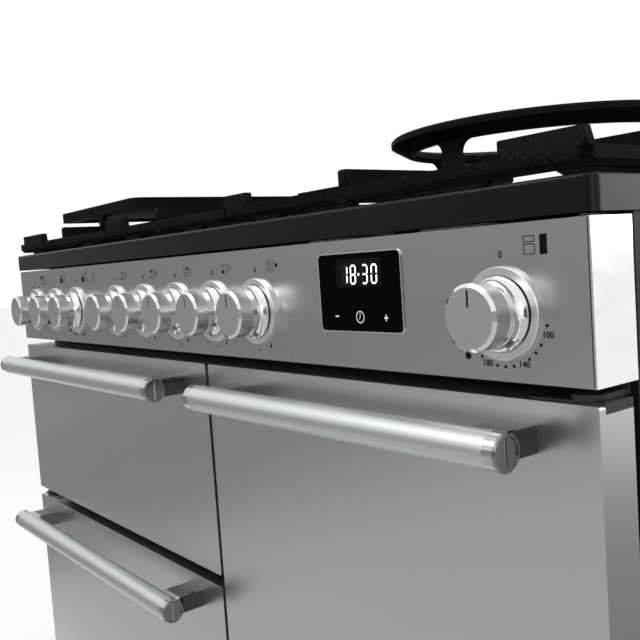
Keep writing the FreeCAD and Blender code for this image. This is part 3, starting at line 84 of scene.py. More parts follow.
# ---------------------------------------------------------------- material building blocks
class Look:
    """A node material with a Principled shader and short helpers for procedural detail."""

    def __init__(self, name, color, rough, metal=0.0, **sockets):
        self.material = bpy.data.materials.new(name)
        self.material.use_nodes = True
        self.tree = self.material.node_tree
        self.shader = self.tree.nodes["Principled BSDF"]
        self.color = color
        self.shader.inputs["Base Color"].default_value = (*color, 1)
        self.shader.inputs["Roughness"].default_value = rough
        self.shader.inputs["Metallic"].default_value = metal
        for socket, value in sockets.items():
            self.shader.inputs[socket.replace("_", " ")].default_value = value
        self.place = self.add("ShaderNodeTexCoord").outputs["Object"]

    def add(self, kind, **settings):
        node = self.tree.nodes.new(kind)
        for key, value in settings.items():
            setattr(node, key, value)
        return node

    def link(self, out, into):
        self.tree.links.new(out, into)

    def stretched(self, scale):
        mapping = self.add("ShaderNodeMapping")
        mapping.inputs["Scale"].default_value = scale
        self.link(self.place, mapping.inputs["Vector"])
        return mapping.outputs["Vector"]

    def noise(self, scale, detail=3.0, stretch=(1, 1, 1)):
        node = self.add("ShaderNodeTexNoise")
        node.inputs["Scale"].default_value = scale
        node.inputs["Detail"].default_value = detail
        self.link(self.stretched(stretch), node.inputs["Vector"])
        return node.outputs["Fac"]

    def cells(self, scale, feature="F1"):
        node = self.add("ShaderNodeTexVoronoi", feature=feature)
        node.inputs["Scale"].default_value = scale
        self.link(self.place, node.inputs["Vector"])
        return node

    def spread(self, value, low, high, to_low, to_high):
        node = self.add("ShaderNodeMapRange")
        for socket, number in zip(("From Min", "From Max", "To Min", "To Max"),
                                  (low, high, to_low, to_high)):
            node.inputs[socket].default_value = number
        self.link(value, node.inputs["Value"])
        return node.outputs["Result"]

    def math(self, operation, a, b=None):
        node = self.add("ShaderNodeMath", operation=operation)
        for n, item in enumerate((a, b)):
            if item is None:
                continue
            if isinstance(item, (int, float)):
                node.inputs[n].default_value = item
            else:
                self.link(item, node.inputs[n])
        return node.outputs["Value"]

    def tint(self, value, dark, light):
        """Base colour that runs between two strengths of the material's own colour."""
        mix = self.add("ShaderNodeMix", data_type="RGBA")
        self.link(value, mix.inputs["Factor"])
        mix.inputs[6].default_value = (*(c * dark for c in self.color), 1)
        mix.inputs[7].default_value = (*(min(c * light, 1) for c in self.color), 1)
        self.link(mix.outputs[2], self.shader.inputs["Base Color"])
        return mix

    def roughness(self, value, low, high, to_low, to_high):
        self.link(self.spread(value, low, high, to_low, to_high), self.shader.inputs["Roughness"])

    def bump(self, height, distance, strength=1.0):
        node = self.add("ShaderNodeBump")
        node.inputs["Distance"].default_value = distance
        node.inputs["Strength"].default_value = strength
        self.link(height, node.inputs["Height"])
        self.link(node.outputs["Normal"], self.shader.inputs["Normal"])


def brushed_steel(name, color, rough, along=(14, 3200, 3200)):
    """Steel with a fine directional grain and soft cloudiness."""
    look = Look(name, color, rough, 1.0)
    grain = look.noise(1.0, 2.0, along)
    cloud = look.noise(4.0, 2.0)
    mixed = look.math("ADD", look.math("MULTIPLY", grain, 0.1), look.math("MULTIPLY", cloud, 0.9))
    look.tint(mixed, 0.985, 1.015)
    look.roughness(mixed, 0.3, 0.7, rough - 0.01, rough + 0.01)
    return look.material


def polished_metal(name, color, rough=0.06):
    """Chrome with faint smears in its gloss."""
    look = Look(name, color, rough, 1.0)
    smear = look.noise(30.0, 3.0, (1, 1, 3))
    look.tint(smear, 0.97, 1.03)
    look.roughness(smear, 0.3, 0.7, rough * 0.7, rough * 1.5)
    return look.material


def satin_metal(name, color, rough):
    """Blasted and anodised metal with very fine grain."""
    look = Look(name, color, rough, 1.0)
    grain = look.noise(2600.0, 2.0)
    look.tint(grain, 0.93, 1.07)
    look.roughness(look.noise(12.0, 2.0), 0.3, 0.7, rough - 0.03, rough + 0.03)
    look.bump(grain, 0.00002, 0.4)
    return look.material


def handle_metal(name, box):
    """Handle: satin tube on brackets, closed by two polished end caps; painted shade darkens the brackets,
    the caps and most of all the cap faces.
    """
    look = Look(name, (0.60, 0.64, 0.635), 0.34, 1.0)
    split = look.add("ShaderNodeSeparateXYZ")
    look.link(look.place, split.inputs[0])
    low, high = box
    half = (high.x - low.x) / 2
    from_middle = look.math("ABSOLUTE", look.math("SUBTRACT", split.outputs["X"], (low.x + high.x) / 2))
    on_cap = look.math("GREATER_THAN", from_middle, half - HANDLE_CAP * MM)
    on_disc = look.math("GREATER_THAN", from_middle, half - HANDLE_CAP_FACE * MM)
    grain = look.noise(2600.0, 2.0)
    satin = look.spread(grain, 0.3, 0.7, 0.37, 0.43)
    gloss = look.math("SUBTRACT", satin, look.math("MULTIPLY", on_cap, 0.32))
    look.link(look.math("ADD", gloss, look.math("MULTIPLY", on_disc, 0.12)), look.shader.inputs["Roughness"])
    # Painted shade: the base colour is darkened on the brackets, a little on the end caps and most on the
    # cap faces.
    bracket_shade_mask = look.math("GREATER_THAN", split.outputs["Y"], low.y + HANDLE_TUBE * MM)
    painted_shade = look.math("ADD", look.math("MULTIPLY", on_cap, 0.15), look.math("MULTIPLY", bracket_shade_mask, 0.78))
    painted_shade = look.math("ADD", painted_shade, look.math("MULTIPLY", on_disc, 0.45))
    look.tint(look.math("SUBTRACT", 1.0, painted_shade), 0.1, 1.0)
    plain = look.math("SUBTRACT", 1.0, on_cap)
    look.bump(look.math("MULTIPLY", grain, plain), 0.00002, 0.4)
    return look.material


def turned_knob(name, centre):
    """Knob: satin face with fine rings, brushed band behind the chamfer, mirror neck and skirt."""
    look = Look(name, (0.65, 0.65, 0.65), 0.3, 1.0)
    split = look.add("ShaderNodeSeparateXYZ")
    look.link(look.place, split.inputs[0])
    x = look.math("SUBTRACT", split.outputs["X"], centre.x)
    z = look.math("SUBTRACT", split.outputs["Z"], centre.z)
    radius = look.math("SQRT", look.math("ADD", look.math("MULTIPLY", x, x), look.math("MULTIPLY", z, z)))
    depth = look.math("SUBTRACT", split.outputs["Y"], centre.y)
    rings = look.add("ShaderNodeTexNoise", noise_dimensions="1D")
    rings.inputs["Scale"].default_value = 2500.0
    rings.inputs["Detail"].default_value = 2.0
    look.link(look.math("ADD", radius, depth), rings.inputs["W"])
    on_face = look.math("LESS_THAN", depth, KNOB_FACE_BACK * MM)
    on_chamfer = look.math("MULTIPLY", look.math("GREATER_THAN", radius, KNOB_FACE_EDGE * MM), on_face)
    on_neck = look.math("GREATER_THAN", depth, KNOB_BAND_BACK * MM)
    polished = look.math("MAXIMUM", on_chamfer, on_neck)
    satin = look.spread(rings.outputs["Fac"], 0.3, 0.7, 0.27, 0.36)
    keep = look.math("MULTIPLY", satin, look.math("SUBTRACT", 1.0, polished))
    gloss = look.math("ADD", keep, look.math("MULTIPLY", polished, 0.05))
    look.link(gloss, look.shader.inputs["Roughness"])
    shade = look.math("ADD", look.math("MULTIPLY", rings.outputs["Fac"], 0.15),
                      look.math("MULTIPLY", polished, 0.8))
    look.tint(shade, 0.94, 1.3)
    turned = look.math("SUBTRACT", 1.0, polished)
    look.bump(look.math("MULTIPLY", rings.outputs["Fac"], turned), 0.00001, 0.08)
    return look.material


def gloss_enamel(name, color, rough=0.12):
    """Glossy vitreous enamel with orange-peel and tiny pale flecks."""
    look = Look(name, color, rough, 0.0, Specular_IOR_Level=0.14)
    fleck = look.cells(420.0).outputs["Distance"]
    look.tint(look.spread(fleck, 0.0, 0.16, 1.0, 0.0), 1.0, 2.6)
    peel = look.noise(160.0, 1.0)
    look.roughness(look.noise(8.0, 2.0), 0.3, 0.7, rough * 0.8, rough * 1.3)
    look.bump(peel, 0.00006, 0.35)
    return look.material


def painted_casing(name, color, rough=0.42):
    """Powder-coated sheet steel."""
    look = Look(name, color, rough, 0.0, Specular_IOR_Level=0.14)
    grain = look.noise(700.0, 2.0)
    look.tint(grain, 0.85, 1.25)
    look.roughness(grain, 0.3, 0.7, rough - 0.06, rough + 0.08)
    look.bump(grain, 0.00012, 0.4)
    return look.material


def cast_iron(name, color, rough=0.62):
    """Coated casting with a sandy surface and a painted highlight: its convex edges are painted paler."""
    look = Look(name, color, rough, 0.0, Specular_IOR_Level=0.01)
    sand = look.noise(650.0, 4.0)
    pits = look.cells(900.0).outputs["Distance"]
    height = look.math("ADD", sand, look.math("MULTIPLY", pits, 0.5))
    # Painted highlight: convex edges found by pointiness are painted paler in the base colour.
    edge = look.add("ShaderNodeNewGeometry").outputs["Pointiness"]
    painted_edge_highlight = look.spread(edge, 0.5, 0.56, 0.0, 0.5)
    grit = look.spread(look.noise(520.0, 2.0), 0.56, 0.7, 0.0, 1.0)
    look.tint(look.math("ADD", look.math("MULTIPLY", grit, 0.7), painted_edge_highlight), 0.7, 5.0)
    look.roughness(sand, 0.3, 0.7, rough - 0.1, rough + 0.12)
    look.bump(height, 0.0005, 0.6)
    return look.material


def zinc_sheet(name, color):
    """Galvanised sheet with spangle."""
    look = Look(name, color, 0.42, 1.0)
    spangle = look.cells(70.0)
    split = look.add("ShaderNodeSeparateColor")
    look.link(spangle.outputs["Color"], split.inputs[0])
    look.tint(split.outputs[0], 0.85, 1.12)
    look.roughness(split.outputs[1], 0.0, 1.0, 0.34, 0.5)
    look.bump(look.noise(300.0, 2.0), 0.00005, 0.3)
    return look.material


def moulded(name, color, rough=0.5):
    """Moulded plastic or rubber with a fine spark-eroded grain."""
    look = Look(name, color, rough)
    grain = look.noise(1500.0, 2.0)
    look.tint(grain, 0.85, 1.2)
    look.roughness(grain, 0.3, 0.7, rough - 0.05, rough + 0.08)
    look.bump(grain, 0.00008, 0.4)
    return look.material


def dark_glass(name, color):
    """Opaque black glass with a faint film on it."""
    look = Look(name, color, 0.04, 0.0, Specular_IOR_Level=0.015)
    film = look.noise(20.0, 2.0)
    look.tint(film, 0.8, 1.2)
    look.roughness(film, 0.3, 0.7, 0.03, 0.07)
    return look.material


def print_ink(name, color):
    """Screen-printed ink, a little uneven."""
    look = Look(name, color, 0.5, 0.0, Specular_IOR_Level=0.05)
    look.tint(look.noise(900.0, 2.0), 0.75, 1.3)
    return look.material


def lit_segment(name, color, strength):
    """Glowing display segment with a faintly uneven tone."""
    look = Look(name, color, 0.4)
    look.shader.inputs["Emission Color"].default_value = (*color, 1)
    look.shader.inputs["Emission Strength"].default_value = strength
    look.tint(look.noise(400.0, 1.0), 0.92, 1.0)
    return look.material


def heat_tinted(name, color):
    """Steel that has seen heat: straw and blue patches."""
    look = Look(name, color, 0.36, 1.0)
    patch = look.noise(14.0, 3.0)
    mix = look.tint(patch, 0.75, 1.1)
    mix.inputs[6].default_value = (color[0] * 0.75, color[1] * 0.7, color[2] * 0.8, 1)
    look.roughness(patch, 0.3, 0.7, 0.3, 0.45)
    look.bump(look.noise(800.0, 2.0), 0.00004, 0.3)
    return look.material


# ---------------------------------------------------------------- finishes of the CAD pieces
KNOB_REACH = 36.0
KNOB_FACE_BACK = -33.9
KNOB_FACE_EDGE = 21.0
KNOB_BAND_BACK = -21.1
KNOB_PITCH = 83.8
OVEN_KNOBS_START = 69.6
GAS_KNOBS_START = 375.4
LAST_KNOB = fascia_width - 72.7
CONTROL_HEIGHT = 48.0
HANDLE_CAP = 11.0
HANDLE_CAP_FACE = 2
HANDLE_TUBE = 27.0

oven_knob_x = [OVEN_KNOBS_START + KNOB_PITCH * n for n in range(3)]
gas_knob_x = [GAS_KNOBS_START + KNOB_PITCH * n for n in range(5)]
knob_places = {
    "grill_knob": oven_knob_x[0],
    "left_oven_function_knob": oven_knob_x[1],
    "left_oven_heat_knob": oven_knob_x[2],
    "right_oven_knob": LAST_KNOB,
}
knob_places.update({"gas_knob_%d" % (n + 1): x for n, x in enumerate(gas_knob_x)})

finishes = {
    "fascia_steel": brushed_steel("fascia_steel", (0.49, 0.49, 0.485), 0.27),
    "door_steel": brushed_steel("door_steel", (0.57, 0.57, 0.565), 0.3),
    "polished": polished_metal("polished", (0.95, 0.95, 0.95), 0.09),
    "bezel_satin": satin_metal("bezel_satin", (0.84, 0.84, 0.84), 0.3),
    "hob_enamel": gloss_enamel("hob_enamel", (0.006, 0.006, 0.0065), 0.16),
    "oven_enamel": gloss_enamel("oven_enamel", (0.03, 0.032, 0.036), 0.2),
    "cap_enamel": painted_casing("cap_enamel", (0.015, 0.015, 0.016), 0.5),
    "casing_black": painted_casing("casing_black", (0.008, 0.008, 0.0085)),
    "cast_black": cast_iron("cast_black", (0.0028, 0.0028, 0.003), 0.5),
    "zinc": zinc_sheet("zinc", (0.42, 0.43, 0.44)),
    "hinge_steel": painted_casing("hinge_steel", (0.03, 0.031, 0.033), 0.4),
    "seal": moulded("seal", (0.05, 0.05, 0.052), 0.7),
    "roller_plastic": moulded("roller_plastic", (0.03, 0.03, 0.032), 0.5),
    "control_plastic": moulded("control_plastic", (0.10, 0.10, 0.11), 0.45),
    "wire_chrome": polished_metal("wire_chrome", (0.62, 0.62, 0.63), 0.14),
    "fan_steel": heat_tinted("fan_steel", (0.42, 0.40, 0.38)),
    "element_steel": heat_tinted("element_steel", (0.16, 0.15, 0.15)),
    "foot_zinc": satin_metal("foot_zinc", (0.48, 0.48, 0.47), 0.35),
    "brass_cast": satin_metal("brass_cast", (0.52, 0.39, 0.18), 0.38),
    "burner_aluminium": satin_metal("burner_aluminium", (0.36, 0.36, 0.37), 0.5),
    "clock_glass": dark_glass("clock_glass", (0.0015, 0.0015, 0.0015)),
    "ink": print_ink("ink", (0.004, 0.004, 0.004)),
    "soft_ink": print_ink("soft_ink", (0.01, 0.01, 0.01)),
    "display": dark_glass("display", (0.006, 0.006, 0.006)),
    "unlit": print_ink("unlit", (0.02, 0.018, 0.018)),
    "lit": lit_segment("lit", (1.0, 1.0, 1.0), 1.0),
    "touch": lit_segment("touch", (0.62, 0.62, 0.62), 0.35),
    "ceramic": moulded("ceramic", (0.72, 0.70, 0.66), 0.3),
}

node_finishes = {
    "fascia_steel": ["fascia_panel"],
    "door_steel": ["grill_door_skin", "left_oven_door_skin", "right_oven_door_skin", "drawer_front"],
    "polished": ["fascia_cheeks"],
    "bezel_satin": ["knob_bezels"],
    "hob_enamel": ["hob_tray"],
    "oven_enamel": ["grill_liner", "left_oven_liner", "right_oven_liner", "grill_door_pan",
                    "left_oven_door_pan", "right_oven_door_pan", "grill_pan", "fan_covers"],
    "cap_enamel": ["burner_caps"],
    "casing_black": ["base_frame", "plinth", "side_panels", "front_frame"],
    "cast_black": ["pan_support_left", "pan_support_centre", "pan_support_right", "griddle", "wok_cradle"],
    "zinc": ["back_panel", "storage_drawer", "fan_motors"],
    "hinge_steel": ["hinge_brackets"],
    "seal": ["door_seals"],
    "roller_plastic": ["rear_rollers"],
    "control_plastic": ["oven_controls"],
    "wire_chrome": ["shelf_ladders", "left_oven_shelf", "right_oven_shelf"],
    "fan_steel": ["left_oven_fan", "right_oven_fan"],
    "element_steel": ["heating_elements"],
    "foot_zinc": ["front_feet"] + ["gas_spindle_%d" % n for n in range(1, 6)],
    "brass_cast": ["gas_rail"],
    "burner_aluminium": ["burner_bodies"],
    "clock_glass": ["clock_glass"],
}


def paint(obj, material):
    obj.data.materials.clear()
    obj.data.materials.append(material)


def finish_nodes():
    for finish, names in node_finishes.items():
        for name in names:
            paint(nodes[name], finishes[finish])
    for name, x in knob_places.items():
        centre = on_fascia(x, 0, CONTROL_HEIGHT)
        paint(nodes[name], turned_knob(name + "_metal", centre))
    for name in ("grill_door_handle", "left_oven_door_handle", "right_oven_door_handle"):
        paint(nodes[name], handle_metal(name + "_metal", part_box(name)))


# ---------------------------------------------------------------- mesh helpers
def add_piece(name, mesh_data, finish, body):
    obj = bpy.data.objects.new(name, mesh_data)
    bpy.context.scene.collection.objects.link(obj)
    paint(obj, finishes[finish])
    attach(obj, body)
    return obj


def circle_points(x, z, radius, count=28):
    return [(x + radius * math.cos(2 * math.pi * n / count), z + radius * math.sin(2 * math.pi * n / count))
            for n in range(count)]


def rounded_points(x, z, width, height, radius, steps=4):
    """Outline of a rounded rectangle about its centre."""
    points = []
    corners = ((1, 1, 0), (-1, 1, 90), (-1, -1, 180), (1, -1, 270))
    for side_x, side_z, start in corners:
        cx = x + side_x * (width / 2 - radius)
        cz = z + side_z * (height / 2 - radius)
        for n in range(steps + 1):
            angle = math.radians(start + 90 * n / steps)
            points.append((cx + radius * math.cos(angle), cz + radius * math.sin(angle)))
    return points


class Flat:
    """Thin prints or inlays on an upright plane; one mesh gathered from many outlines."""

    def __init__(self, y, thick):
        self.mesh = bmesh.new()
        self.y = y
        self.thick = thick

    def loop(self, points, y):
        return [self.mesh.verts.new(on_fascia(x, y, z)) for x, z in points]

    def filled(self, points):
        back = self.loop(points, self.y)
        front = self.loop(points, self.y - self.thick)
        self.mesh.faces.new(front)
        count = len(points)
        for n in range(count):
            m = (n + 1) % count
            self.mesh.faces.new((back[n], back[m], front[m], front[n]))
        self.mesh.faces.new(list(reversed(back)))

    def ring(self, outer, inner):
        front_out = self.loop(outer, self.y - self.thick)
        front_in = self.loop(inner, self.y - self.thick)
        back_out = self.loop(outer, self.y)
        back_in = self.loop(inner, self.y)
        count = len(outer)
        for n in range(count):
            m = (n + 1) % count
            self.mesh.faces.new((front_out[n], front_out[m], front_in[m], front_in[n]))
            self.mesh.faces.new((back_out[n], back_out[m], front_out[m], front_out[n]))
            self.mesh.faces.new((front_in[n], front_in[m], back_in[m], back_in[n]))
            self.mesh.faces.new((back_in[n], back_in[m], back_out[m], back_out[n]))

    def bar(self, x0, z0, x1, z1, width):
        """Straight bar with pointed ends, as a display segment has."""
        along = Vector((x1 - x0, z1 - z0))
        length = along.length
        along.normalize()
        side = Vector((-along.y, along.x)) * width / 2
        tip = along * min(width / 2, length / 3)
        a, b = Vector((x0, z0)), Vector((x1, z1))
        points = [a, a + tip - side, b - tip - side, b, b - tip + side, a + tip + side]
        self.filled([tuple(p) for p in points])

    def dot(self, x, z, radius):
        self.filled(circle_points(x, z, radius, 18))

    def circle(self, x, z, radius, line):
        self.ring(circle_points(x, z, radius), circle_points(x, z, radius - line))

    def frame(self, x, z, width, height, radius, line):
        inner = rounded_points(x, z, width - 2 * line, height - 2 * line, max(radius - line, 0.05))
        self.ring(rounded_points(x, z, width, height, radius), inner)

    def flame(self, x, z, size):
        """Small drop-shaped flame, point upward."""
        points = [(x, z + size)]
        for angle in range(30, -211, -24):
            turn = math.radians(angle)
            points.append((x + 0.42 * size * math.cos(turn), z - 0.35 * size + 0.5 * size * math.sin(turn)))
        self.filled(points)

    def number(self, text, x, z, height):
        """Plain number, centred on a point."""
        curve = bpy.data.curves.new("number", "FONT")
        curve.body = text
        curve.size = height * MM / 0.73
        curve.align_x = "CENTER"
        curve.align_y = "CENTER"
        curve.extrude = self.thick * MM / 2
        curve.offset = NUMBER_WEIGHT * MM
        curve.resolution_u = 3
        holder = bpy.data.objects.new("number", curve)
        bpy.context.scene.collection.objects.link(holder)
        solid = bpy.data.meshes.new_from_object(holder)
        stand = Matrix.Rotation(math.radians(90), 4, "X")
        solid.transform(Matrix.Translation(on_fascia(x, self.y - self.thick / 2, z)) @ stand)
        self.mesh.from_mesh(solid)
        bpy.data.objects.remove(holder)
        bpy.data.curves.remove(curve)
        bpy.data.meshes.remove(solid)

    def done(self, name, finish, body):
        bmesh.ops.recalc_face_normals(self.mesh, faces=self.mesh.faces)
        data = bpy.data.meshes.new(name)
        self.mesh.to_mesh(data)
        self.mesh.free()
        return add_piece(name, data, finish, body)


def lathe(name, profile, centre, axis, finish, body, count=24):
    """Turned piece from (radius, height) in mm along an axis."""
    mesh = bmesh.new()
    turn = Vector(axis).to_track_quat("Z", "Y").to_matrix().to_4x4()
    place = Matrix.Translation(centre) @ turn
    rings = []
    for radius, height in profile:
        ring = []
        for n in range(count):
            angle = 2 * math.pi * n / count
            point = Vector((radius * math.cos(angle), radius * math.sin(angle), height)) * MM
            ring.append(mesh.verts.new(place @ point))
        rings.append(ring)
    for low, high in zip(rings, rings[1:]):
        for n in range(count):
            m = (n + 1) % count
            mesh.faces.new((low[n], low[m], high[m], high[n]))
    mesh.faces.new(list(reversed(rings[0])))
    mesh.faces.new(rings[-1])
    bmesh.ops.recalc_face_normals(mesh, faces=mesh.faces)
    data = bpy.data.meshes.new(name)
    mesh.to_mesh(data)
    mesh.free()
    return add_piece(name, data, finish, body)


# ---------------------------------------------------------------- printed marks
PRINT_THICK = 0.08
ZERO_HEIGHT = 40.9
NUMBER_SIZE = 4.6
NUMBER_WEIGHT = 0.14
HEAT_SCALE = 37.5
FUNCTION_SCALE = 37.2


def burner_icon(print_, thin, x, z, chosen):
    """Five small rings laid out as the burners are; the chosen one is filled."""
    places = [(0, 6.4), (7.2, 6.4), (0, 0), (7.2, 0), (13.6, 3.3)]
    for n, (dx, dz) in enumerate(places):
        if n == chosen:
            print_.dot(x + dx, z + dz, 2.2)
        else:
            thin.circle(x + dx, z + dz, 2.3, 0.6)


def compartment_icon(print_, thin, x, z, chosen):
    """Outline of the three compartments; the chosen one is filled."""
    cells = [(0, 4.3, 9.6, 4.6), (0, -2.6, 9.6, 7.4), (11.6, 0.2, 6.0, 13.4)]
    for n, (dx, dz, width, height) in enumerate(cells):
        if n == chosen:
            print_.filled(rounded_points(x + dx, z + dz, width, height, 0.5))
        else:
            thin.frame(x + dx, z + dz, width, height, 0.8, 0.65)


def fascia_marks():
    print_ = Flat(0.0, PRINT_THICK)
    thin = Flat(0.0, PRINT_THICK)
    for x in knob_places.values():
        print_.number("0", x, CONTROL_HEIGHT + ZERO_HEIGHT, 5.0)
    for x, chosen in zip(gas_knob_x, (2, 0, 1, 2, 4)):
        burner_icon(print_, thin, x + 23.2, CONTROL_HEIGHT + 41.2, chosen)
        print_.dot(x - 19.0, CONTROL_HEIGHT - 33.8, 0.9)
        print_.flame(x, CONTROL_HEIGHT - 38.2, 2.0)
        print_.flame(x + 19.3, CONTROL_HEIGHT - 33.3, 3.4)
    for x, chosen in zip(oven_knob_x, (0, 1, 1)):
        compartment_icon(print_, thin, x + 30.3, CONTROL_HEIGHT + 46.0, chosen)
    grill, function, heat = oven_knob_x
    for dx in (-9.4, 14.2):
        print_.frame(grill + dx, CONTROL_HEIGHT + 35.8, 6.0, 2.4, 0.6, 0.8)
    print_.number("1", grill + 33.9, CONTROL_HEIGHT - 29.6, NUMBER_SIZE)
    thin.frame(heat + 69.4, CONTROL_HEIGHT + 44.7, 8.0, 15.5, 3.9, 0.6)
    for n in range(9):
        turn = math.radians(60 - 30 * n)
        along, up = FUNCTION_SCALE * math.cos(turn), FUNCTION_SCALE * math.sin(turn)
        print_.dot(function + along, CONTROL_HEIGHT + up, 0.8)
    for x in (heat, LAST_KNOB):
        for text, dx, dz in (("100", 37.1, -14.2), ("140", 16.4, -35.1), ("180", -15.9, -35.7)):
            print_.number(text, x + dx, CONTROL_HEIGHT + dz, NUMBER_SIZE)
        print_.dot(x - 34.0, CONTROL_HEIGHT - 31.0, 2.8)
        for angle in (-12, -33.9, -45, -56.1, -78.5, -89.8, -100.8, -123.8):
            turn = math.radians(angle)
            print_.dot(x + HEAT_SCALE * math.cos(turn), CONTROL_HEIGHT + HEAT_SCALE * math.sin(turn), 1.2)
    compartment_icon(print_, thin, LAST_KNOB + 25.1, CONTROL_HEIGHT + 46.2, 2)
    print_.done("fascia_print", "ink", "chassis")
    thin.done("fascia_print_fine", "soft_ink", "chassis")


def knob_pointers():
    """Dark filling of the groove in each knob face."""
    for name, x in knob_places.items():
        line = Flat(-KNOB_REACH + 0.6, 0.25)
        line.filled(rounded_points(x, CONTROL_HEIGHT + 13.2, 1.6, 11.8, 0.79))
        line.done(name + "_pointer", "ink", name + "_body")


# ---------------------------------------------------------------- clock
CLOCK_PROUD = 1.8
CLOCK_RIM_PLACE = (867.5, 65.0)
CLOCK_RIM_SIZE = (106.0, 68.0)
CLOCK_RIM_CORNER = 5.0
CLOCK_RIM_LINE = 0.8
SEGMENT_WIDTH = 1.5
SEGMENT_GAP = 0.12
DIGIT_WIDTH = 7.6
DIGIT_HEIGHT = 16.6
DIGIT_FOOT = 71.8
DIGIT_LEAN = 0.05
SEGMENTS = {"0": "abcdef", "1": "bc", "3": "abcdg", "8": "abcdefg"}


def segment_ends():
    """Ends of the seven segments of a digit, from its lower left corner."""
    w, h = DIGIT_WIDTH - SEGMENT_WIDTH, DIGIT_HEIGHT - SEGMENT_WIDTH
    left, right, low, middle, top = 0.75, 0.75 + w, 0.75, 0.75 + h / 2, 0.75 + h
    return {"a": (left, top, right, top), "b": (right, top, right, middle), "c": (right, middle, right, low),
            "d": (left, low, right, low), "e": (left, low, left, middle), "f": (left, middle, left, top),
            "g": (left, middle, right, middle)}


def clock_display():
    front = -CLOCK_PROUD
    rim = Flat(0.0, CLOCK_PROUD - 0.5)
    rim.frame(*CLOCK_RIM_PLACE, *CLOCK_RIM_SIZE, CLOCK_RIM_CORNER, CLOCK_RIM_LINE)
    rim.done("clock_rim", "polished", "chassis")
    window = Flat(front, 0.05)
    window.filled(rounded_points(868.8, 81.5, 58.0, 24.0, 0.6))
    window.done("clock_window", "display", "chassis")
    lit = Flat(front - 0.05, 0.06)
    unlit = Flat(front - 0.05, 0.04)
    for text, x in zip("1830", (847.4, 858.4, 873.4, 884.9)):
        for name, (x0, z0, x1, z1) in segment_ends().items():
            into = lit if name in SEGMENTS[text] else unlit
            ax, az = x0 + (x1 - x0) * SEGMENT_GAP / 2, z0 + (z1 - z0) * SEGMENT_GAP / 2
            bx, bz = x1 - (x1 - x0) * SEGMENT_GAP / 2, z1 - (z1 - z0) * SEGMENT_GAP / 2
            into.bar(x + ax + DIGIT_LEAN * az, DIGIT_FOOT + az,
                     x + bx + DIGIT_LEAN * bz, DIGIT_FOOT + bz, SEGMENT_WIDTH)
    lit.dot(869.8, DIGIT_FOOT + DIGIT_HEIGHT / 2, 1.1)
    lit.done("clock_digits", "lit", "chassis")
    unlit.done("clock_digits_unlit", "unlit", "chassis")
    touch = Flat(front, 0.06)
    touch.bar(835.4, 44.6, 840.6, 44.6, 1.1)
    touch.circle(868.6, 44.1, 5.2, 0.7)
    touch.bar(868.6, 44.1, 868.6, 47.8, 0.6)
    touch.bar(868.6, 44.1, 867.0, 42.3, 0.6)
    touch.bar(898.2, 43.8, 903.4, 43.8, 1.1)
    touch.filled(rounded_points(900.8, 43.8, 1.1, 5.4, 0.3))
    touch.done("clock_touch_marks", "touch", "chassis")


# ---------------------------------------------------------------- hob details
BURNERS = ((200.0, 150.0, 36.0), (200.0, 412.0, 26.0), (505.0, 412.0, 36.0), (505.0, 150.0, 26.0),
           (850.0, 281.0, 62.0))


def igniters():
    """Spark electrode and flame probe beside every burner crown."""
    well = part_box("burner_caps")[0].z - 18 * MM
    for number, (x, y, radius) in enumerate(BURNERS, start=1):
        reach = radius + 3.6
        for kind, angle in (("igniter", 140), ("probe", 40)):
            turn = math.radians(angle)
            foot = on_fascia(x + reach * math.cos(turn), y + reach * math.sin(turn), 0)
            foot.z = well + 3 * MM
            if kind == "igniter":
                profile = [(0.4, 0), (2.2, 0), (2.2, 6.5), (1.5, 7.4), (0.8, 7.5), (0.7, 10.2), (0.3, 10.5)]
                finish, slot = "ceramic", "foot_zinc"
            else:
                profile = [(0.4, 0), (2.4, 0), (2.4, 3.0), (1.5, 3.4), (1.5, 9.5), (1.1, 10.3), (0.3, 10.5)]
                finish, slot = "foot_zinc", "foot_zinc"
            lathe("burner_%d_%s" % (number, kind), profile, foot, (0, 0, 1), finish, "chassis", 16)


# ---------------------------------------------------------------- fixings
def screw(name, place, axis, radius=3.4):
    """Pan-head screw with a cross recess."""
    mesh = bmesh.new()
    turn = Vector(axis).to_track_quat("Z", "Y").to_matrix().to_4x4()
    at = Matrix.Translation(place) @ turn
    profile = [(1.0, 0.0), (1.0, 0.35), (0.86, 0.62), (0.55, 0.78), (0.3, 0.8)]
    count = 20

    def corner(n, share, height):
        angle = 2 * math.pi * n / count
        flat = (share * radius * math.cos(angle), share * radius * math.sin(angle))
        return mesh.verts.new(at @ (Vector((*flat, height * radius * 0.6)) * MM))

    rings = [[corner(n, share, height) for n in range(count)] for share, height in profile]
    rings.append([corner(n, 0.22 * (1 if n % 5 else 0.4), 0.3) for n in range(count)])
    for low, high in zip(rings, rings[1:]):
        for n in range(count):
            m = (n + 1) % count
            mesh.faces.new((low[n], low[m], high[m], high[n]))
    mesh.faces.new(rings[-1])
    mesh.faces.new(list(reversed(rings[0])))
    bmesh.ops.recalc_face_normals(mesh, faces=mesh.faces)
    data = bpy.data.meshes.new(name)
    mesh.to_mesh(data)
    mesh.free()
    return add_piece(name, data, "foot_zinc", "chassis")


def back_screws():
    """Screws round the edge of the back panel."""
    low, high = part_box("back_panel")
    sheet_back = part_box("base_frame")[1].y + 1.5 * MM
    inset = 14 * MM
    columns = [low.x + inset + n * (high.x - low.x - 2 * inset) / 6 for n in range(7)]
    rows = [low.z + inset + n * (high.z - low.z - 2 * inset) / 4 for n in range(5)]
    number = 0
    for x in columns:
        for z in rows:
            if x in (columns[0], columns[-1]) or z in (rows[0], rows[-1]):
                number += 1
                screw("back_screw_%02d" % number, Vector((x, sheet_back, z)), (0, 1, 0))


